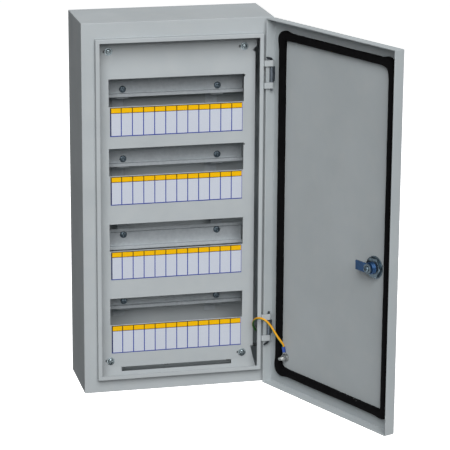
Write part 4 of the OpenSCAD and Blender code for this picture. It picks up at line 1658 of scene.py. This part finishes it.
@dataclass
class HingePins(SubAssembly):
    """The bent wire pins of both hinges.

    Args:
        radius: Pin radius.
        bend: Radius of the bend.
        tilt: How far the bent end turns from upright, in degrees.
        heading: Direction of the bent end seen from above, in degrees.
    """

    radius: float = 1.7 * MM
    bend: float = 3.2 * MM
    tilt: float = 75.0
    heading: float = 210.0

    def route(self, node: str, up: int) -> list[np.ndarray]:
        """Lays out a pin's centre line: upright, round the bend, and out to its end.

        Args:
            node: The pin's CAD node.
            up: One if the bent end is at the top, minus one if at the bottom.

        Returns:
            The line's points.
        """
        low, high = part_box(node)
        foot, far = (low[2], high[2]) if up > 0 else (high[2], low[2])
        turn, head = math.radians(self.tilt), math.radians(self.heading)
        out = np.array((math.cos(head), math.sin(head), 0.0))
        rise = np.array((0.0, 0.0, up))
        run = (DOOR_LINE.x - low[0] - self.radius) / abs(math.cos(head))
        corner = far - up * (self.radius * math.sin(turn) + run / math.tan(turn))
        bend_at = corner - up * self.bend * math.tan(turn / 2)
        points = [np.array((DOOR_LINE.x, DOOR_LINE.y, z)) for z in np.linspace(foot, bend_at, 7)]
        start = points[-1]
        for a in np.linspace(0.0, turn, 9)[1:]:
            points.append(start + self.bend * ((1 - math.cos(a)) * out + math.sin(a) * rise))
        left = max(run - self.bend * (1 - math.cos(turn)), 1.0 * MM)
        start = points[-1]
        for more in np.linspace(0.0, left, 4)[1:]:
            points.append(start + more * (out + rise / math.tan(turn)))
        return points

    def build(self) -> None:
        """Makes both pins."""
        for node, up in (("hinge_pin_upper", 1), ("hinge_pin_lower", -1)):
            made = drawn_wire(self.route(node, up), self.radius, 0.7 * MM, 24, PIN_ZINC)
            self.place(made, node + "_dressed", node, PIN_ZINC)


@dataclass
class CamLock(SubAssembly):
    """The cam lock through the door: housing, washer, nut, core and cam.

    Args:
        barrel_r: Radius of the threaded housing.
        head_r: Radius of the outer head.
        head_t: Thickness of the outer head.
        flat: How far the two flats are cut in.
        nut_across: Width of the nut.
        pitch: Thread pitch.
        root: Depth of the thread.
        core_r: Radius of the core.
        fit: Play round the core and the barrel.
        screw: The cam's screw.
    """

    barrel_r: float = 9.8 * MM
    head_r: float = 14.0 * MM
    head_t: float = 3.5 * MM
    flat: float = 1.0 * MM
    nut_across: float = 30.0 * MM
    pitch: float = 1.5 * MM
    root: float = 0.55 * MM
    core_r: float = 6.0 * MM
    fit: float = 0.05 * MM
    screw: PanHead = PanHead(5.0 * MM, 3.0 * MM, 2.4 * MM)
    on_door = True
    body = Body.DOOR

    def stand(
        self, mesh: bpy.types.Mesh, y: float, name: str, node: str, finish: Finish, body: Body = Body.DOOR
    ) -> None:
        """Stands a turned piece on the lock's axis, pointing into the box.

        Args:
            mesh: The piece, standing on z = 0.
            y: Place of its foot along the axis.
            name: The piece's name.
            node: The CAD node that it stands for.
            finish: Its finish.
            body: Its body.
        """
        low, high = closed_box("lock_washer")
        middle = (low + high) / 2
        made = self.scattered(mesh, [(float(middle[0]), y, float(middle[2]))], INWARD, finish)
        self.place(made, name, node, finish, body)

    def housing(self, length: float, nut_top: float) -> bpy.types.Mesh:
        """Builds the threaded housing, standing on its head.

        Args:
            length: Length over the head.
            nut_top: Height at which the flats begin.

        Returns:
            The housing's mesh.
        """
        r, head, t, bore = self.barrel_r, self.head_r, self.head_t, self.core_r + self.fit
        points: Outline = [(bore, 0.4 * MM), (bore + 0.4 * MM, 0.0), (head - 1.2 * MM, 0.0)]
        points += [(head - 0.35 * MM, 0.35 * MM), (head, 1.2 * MM), (head, t - 0.2 * MM)]
        points += [(head - 0.2 * MM, t), (r - 0.3 * MM, t)]
        rise, crest, z = 0.4 * self.pitch, 0.6 * self.pitch, t + 1.0 * MM
        while z < length - 2.2 * self.pitch:
            points += [(r - self.root, z), (r, z + rise), (r, z + crest)]
            z += self.pitch
        points += [(r - self.root, z), (r - 0.1 * MM, z + rise), (r - 0.1 * MM, length - 1.0 * MM)]
        points += [(r - 1.0 * MM, length), (bore + 0.3 * MM, length), (bore, length - 0.3 * MM)]
        limit = r - self.flat

        def flats(rho: np.ndarray, z: np.ndarray, theta: np.ndarray) -> tuple[np.ndarray, np.ndarray]:
            """Cuts the flats above and below the axis."""
            sine = np.abs(np.sin(theta))
            return np.where((z > nut_top) & (rho * sine > limit), limit / np.maximum(sine, 1e-6), rho), z

        return turned(points, 96, ring=True, shape=flats, crease=28)

    def build(self) -> None:
        """Makes the lock."""
        nodes = ("lock_housing", "lock_washer", "lock_nut", "cam_screw")
        boxes = {node: closed_box(node) for node in nodes}
        foot, nut_foot = float(boxes["lock_housing"][0][1]), float(boxes["lock_nut"][0][1])
        end, nut_end = float(boxes["lock_housing"][1][1]), float(boxes["lock_nut"][1][1])
        made = self.housing(end - foot, nut_end - foot + 0.2 * MM)
        self.stand(made, foot, "lock_barrel", "lock_housing", BLUE_ZINC)
        low, high = boxes["lock_washer"]
        seat, outer = float(low[1]), float(high[0] - low[0]) / 2
        outline = washer_outline(self.barrel_r + 0.2 * MM, outer, nut_foot - seat, 0.35 * MM)
        self.stand(turned(outline, 72, True), seat, "lock_ring", "lock_washer", LOCK_ZINC)
        hexagon = HexNut(self.nut_across, nut_end - nut_foot, self.barrel_r + self.fit).mesh()
        self.stand(hexagon, nut_foot, "lock_hex_nut", "lock_nut", LOCK_ZINC)
        for node, finish, edges in (
            ("lock_core", ZINC, FINE), ("lock_cam", BLUE_ZINC, BLOCK), ("cam_washer", DARK_STEEL, FINE)
        ):
            self.softened(node, finish, edges, Body.ROTOR)
        low, high = boxes["cam_screw"]
        screw = replace(self.screw, length=float(high[1] - low[1]) - self.screw.height)
        seat = float(high[1]) - self.screw.height
        self.stand(screw.mesh(), seat, "cam_fixing_screw", "cam_screw", LOCK_ZINC, Body.ROTOR)


@dataclass
class BoxEarthPoint(SubAssembly):
    """The earth stud on the box wall with its terminal.

    Args:
        prefix: First word of the CAD nodes' names.
        axis: Direction that the stud stands in.
        radius: Stud radius.
        pitch: Thread pitch.
        play: Play between the stud and its nut.
        nut_across: Width of the nut.
        washer_r: Radius of the star washer.
        notch: Depth of the star washer's gaps.
    """

    prefix: str = "body"
    axis: tuple[float, float, float] = (-1.0, 0.0, 0.0)
    radius: float = 3.0 * MM
    pitch: float = 1.0 * MM
    play: float = 0.05 * MM
    nut_across: float = 10.0 * MM
    washer_r: float = 7.0 * MM
    notch: float = 1.4 * MM

    def along(self, node: str) -> tuple[np.ndarray, float]:
        """Finds a node's foot on the stud's axis and its length along it.

        Args:
            node: The node's name.

        Returns:
            The foot, and the length.
        """
        points = node_points(node, self.on_door)
        middle = (points.min(0) + points.max(0)) / 2
        axis = np.array(self.axis)
        reach = points @ axis
        return middle + axis * (reach.min() - middle @ axis), float(reach.max() - reach.min())

    def build(self) -> None:
        """Makes the earth point."""
        feet = {key: self.along(f"{self.prefix}_earth_{key}") for key in ("stud", "washer", "nut")}
        bore = self.radius + self.play
        shapes = {
            "stud": Stud(self.radius, feet["stud"][1], self.pitch),
            "washer": StarWasher(self.washer_r, bore, feet["washer"][1], self.notch),
            "nut": HexNut(self.nut_across, feet["nut"][1], bore),
        }
        for key, shape in shapes.items():
            made = self.scattered(shape.mesh(), [feet[key][0]], self.axis, ZINC)
            self.place(made, f"{self.prefix}_{key}", f"{self.prefix}_earth_{key}", ZINC)
        self.softened(f"{self.prefix}_ring_terminal", ZINC, FINE)
        self.softened(f"{self.prefix}_terminal_sleeve", SLEEVE_VINYL, BLOCK)


@dataclass
class DoorEarthPoint(BoxEarthPoint):
    """The earth stud on the door with its terminal.

    Args:
        prefix: First word of the CAD nodes' names.
        axis: Direction that the stud stands in.
    """

    prefix: str = "door"
    axis: tuple[float, float, float] = (0.0, 1.0, 0.0)
    on_door = True
    body = Body.DOOR


@dataclass
class EarthWire(SubAssembly):
    """The striped bonding wire between the two terminals.

    Args:
        radius: Wire radius.
        start: Plane in front of the wall meant for the start of the wire's turn with the door; not used.
        end: Plane in front of the wall meant for the end of the wire's turn with the door; not used.
        route: Centre line in millimetres, as in the CAD.
    """

    radius: float = 1.95 * MM
    start: float = -137.0 * MM
    end: float = -157.5 * MM
    route: tuple[tuple[float, float, float], ...] = (
        (150.6, -60, -243.7), (150.6, -60.8, -240), (149.5, -66, -234), (147, -74, -230), (143.5, -82, -228),
        (140, -90, -226.5), (136.5, -97, -224), (133, -104, -219.5), (129, -110, -213), (126.5, -116, -206.5),
        (125.5, -123, -200), (126, -130, -194.5), (128.5, -137, -190.5), (133, -143, -189), (138.5, -147, -191),
        (143.5, -149.5, -195.5), (148, -151.5, -201.5), (151.5, -153.5, -207.5), (155, -155.5, -213.5),
        (158.2, -156.9, -219), (162.1, -158.3, -224.5), (165.6, -158, -229.5), (167, -157.6, -232.5),
        (167.4, -157.8, -235.1),
    )

    def build(self) -> None:
        """Makes the wire."""
        route = [tuple(MM * v for v in p) for p in self.route]
        made = drawn_wire(route, self.radius, 1.6 * MM, 18, SHEATH)
        piece = self.shown(made, "bonding_wire", "earth_wire", SHEATH)
        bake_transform(piece)


# ---------------------------------------------------------------- studio


@dataclass(frozen=True)
class Lamp:
    """A square studio lamp.

    Args:
        name: The lamp's name.
        at: Its place.
        level: How brightly it lights a facing white card at the aim, where one is plain white.
        width: Width of its face.
        aim: The point that it faces.
    """

    name: str
    at: tuple[float, float, float]
    level: float
    width: float
    aim: tuple[float, float, float] = (0.0, -0.1, 0.0)

    def build(self) -> None:
        """Makes the lamp."""
        data = bpy.data.lights.new(self.name, "AREA")
        away = Vector(self.at) - Vector(self.aim)
        data.energy = self.level * math.pi**2 * away.length_squared
        data.size = self.width
        turn = away.to_track_quat("Z", "Y").to_matrix().to_4x4()
        put(self.name, data).matrix_world = Matrix.Translation(self.at) @ turn


@dataclass
class Studio:
    """Camera, lamps, world and floor.

    Args:
        yaw: Camera heading to the right of straight in, in degrees.
        pitch: Camera tilt below level, in degrees.
        roll: Camera roll in degrees.
        at: Camera place.
        lens: Focal length in millimetres.
        sensor: Width of the sensor in millimetres.
        ambient: Level of the light from all round.
        floor_z: Height of the floor.
        floor_r: Radius of the floor.
        glow: How brightly the floor shines where it is seen.
        lamps: The lamps.
    """

    yaw: float = 13.25
    pitch: float = 15.92
    roll: float = 0.36
    at: tuple[float, float, float] = (-0.74233, -3.60041, 0.98609)
    lens: float = 184.19
    sensor: float = 36.0
    ambient: float = 0.015
    floor_z: float = -1.2
    floor_r: float = 40.0
    glow: float = 0.93
    lamps: tuple[Lamp, ...] = (
        Lamp("key", (-0.92, -5.53, 4.31), 1.27, 5.66),
        Lamp("back", (3.2, 4.6, 2.6), 0.62, 3.6),
    )

    def camera(self) -> None:
        """Makes the camera."""
        yaw, pitch, roll = (math.radians(v) for v in (self.yaw, self.pitch, self.roll))
        ahead = Vector((math.sin(yaw) * math.cos(pitch), math.cos(yaw) * math.cos(pitch), -math.sin(pitch)))
        right = Vector((math.cos(yaw), -math.sin(yaw), 0.0))
        up = right.cross(ahead)
        side = math.cos(roll) * right + math.sin(roll) * up
        rise = -math.sin(roll) * right + math.cos(roll) * up
        data = bpy.data.cameras.new("camera")
        data.lens, data.sensor_width = self.lens, self.sensor
        data.clip_start, data.clip_end = 0.1, 200.0
        camera = put("camera", data)
        camera.matrix_world = Matrix.Translation(self.at) @ Matrix((side, rise, -ahead)).transposed().to_4x4()
        bpy.context.scene.camera = camera

    @staticmethod
    def seen(graph: Graph) -> Any:
        """Adds a switch that is one for camera, glossy and transmission rays.

        Args:
            graph: The shader tree.

        Returns:
            The switch's output.
        """
        path = graph.node("ShaderNodeLightPath")
        total = path.outputs["Is Camera Ray"]
        for name in ("Is Glossy Ray", "Is Transmission Ray"):
            total = graph.out("ShaderNodeMath", {0: total, 1: path.outputs[name]}, operation="MAXIMUM")
        return total

    def world(self) -> None:
        """Makes the world: white where it is seen, dim grey where it lights."""
        world = bpy.data.worlds.new("studio")
        world.use_nodes = True
        graph = Graph(world.node_tree)
        dim = (self.ambient, self.ambient, 1.03 * self.ambient, 1.0)
        inputs = {"Factor": self.seen(graph), 6: dim, 7: (1.0, 1.0, 1.0, 1.0)}
        mix = graph.node("ShaderNodeMix", inputs, data_type="RGBA")
        graph.feed(world.node_tree.nodes["Background"].inputs["Color"], mix.outputs[2])
        bpy.context.scene.world = world

    def floor(self) -> None:
        """Makes the plain floor, pale where it is seen."""
        bm = bmesh.new()
        bmesh.ops.create_circle(bm, cap_ends=True, radius=self.floor_r, segments=96)
        bmesh.ops.translate(bm, verts=bm.verts, vec=(0, 0, self.floor_z))
        mesh = bpy.data.meshes.new("floor")
        bm.to_mesh(mesh)
        bm.free()
        material = bpy.data.materials.new("floor")
        material.use_nodes = True
        graph = Graph(material.node_tree)
        graph.tree.nodes.clear()
        end = graph.node("ShaderNodeOutputMaterial")
        dim = graph.out("ShaderNodeBsdfDiffuse", {"Color": (0.30, 0.30, 0.30, 1)})
        pale = graph.out("ShaderNodeBsdfDiffuse", {"Color": (0.85, 0.85, 0.85, 1)})
        glow = graph.out("ShaderNodeEmission", {"Strength": self.glow})
        lit = graph.out("ShaderNodeAddShader", {0: pale, 1: glow})
        graph.feed(end.inputs[0], graph.out("ShaderNodeMixShader", {0: self.seen(graph), 1: dim, 2: lit}))
        mesh.materials.append(material)
        put("floor", mesh)

    def build(self) -> None:
        """Makes the studio."""
        bpy.context.scene.view_settings.view_transform = "Standard"
        self.camera()
        self.world()
        self.floor()
        for lamp in self.lamps:
            lamp.build()


def main() -> None:
    """Builds the studio and every sub-assembly, and reports each one."""
    logging.basicConfig(level=logging.INFO, format="%(message)s")
    Studio().build()
    parts: tuple[Any, ...] = (
        Enclosure(), Chassis(), InnerPanel(), TerminalBars(), DoorLeaf(), HingePins(),
        CamLock(), BoxEarthPoint(), DoorEarthPoint(), EarthWire(),
    )
    for part in parts:
        part.build()
        LOG.info("%s built", type(part).__name__)


if __name__ == "__main__":
    main()
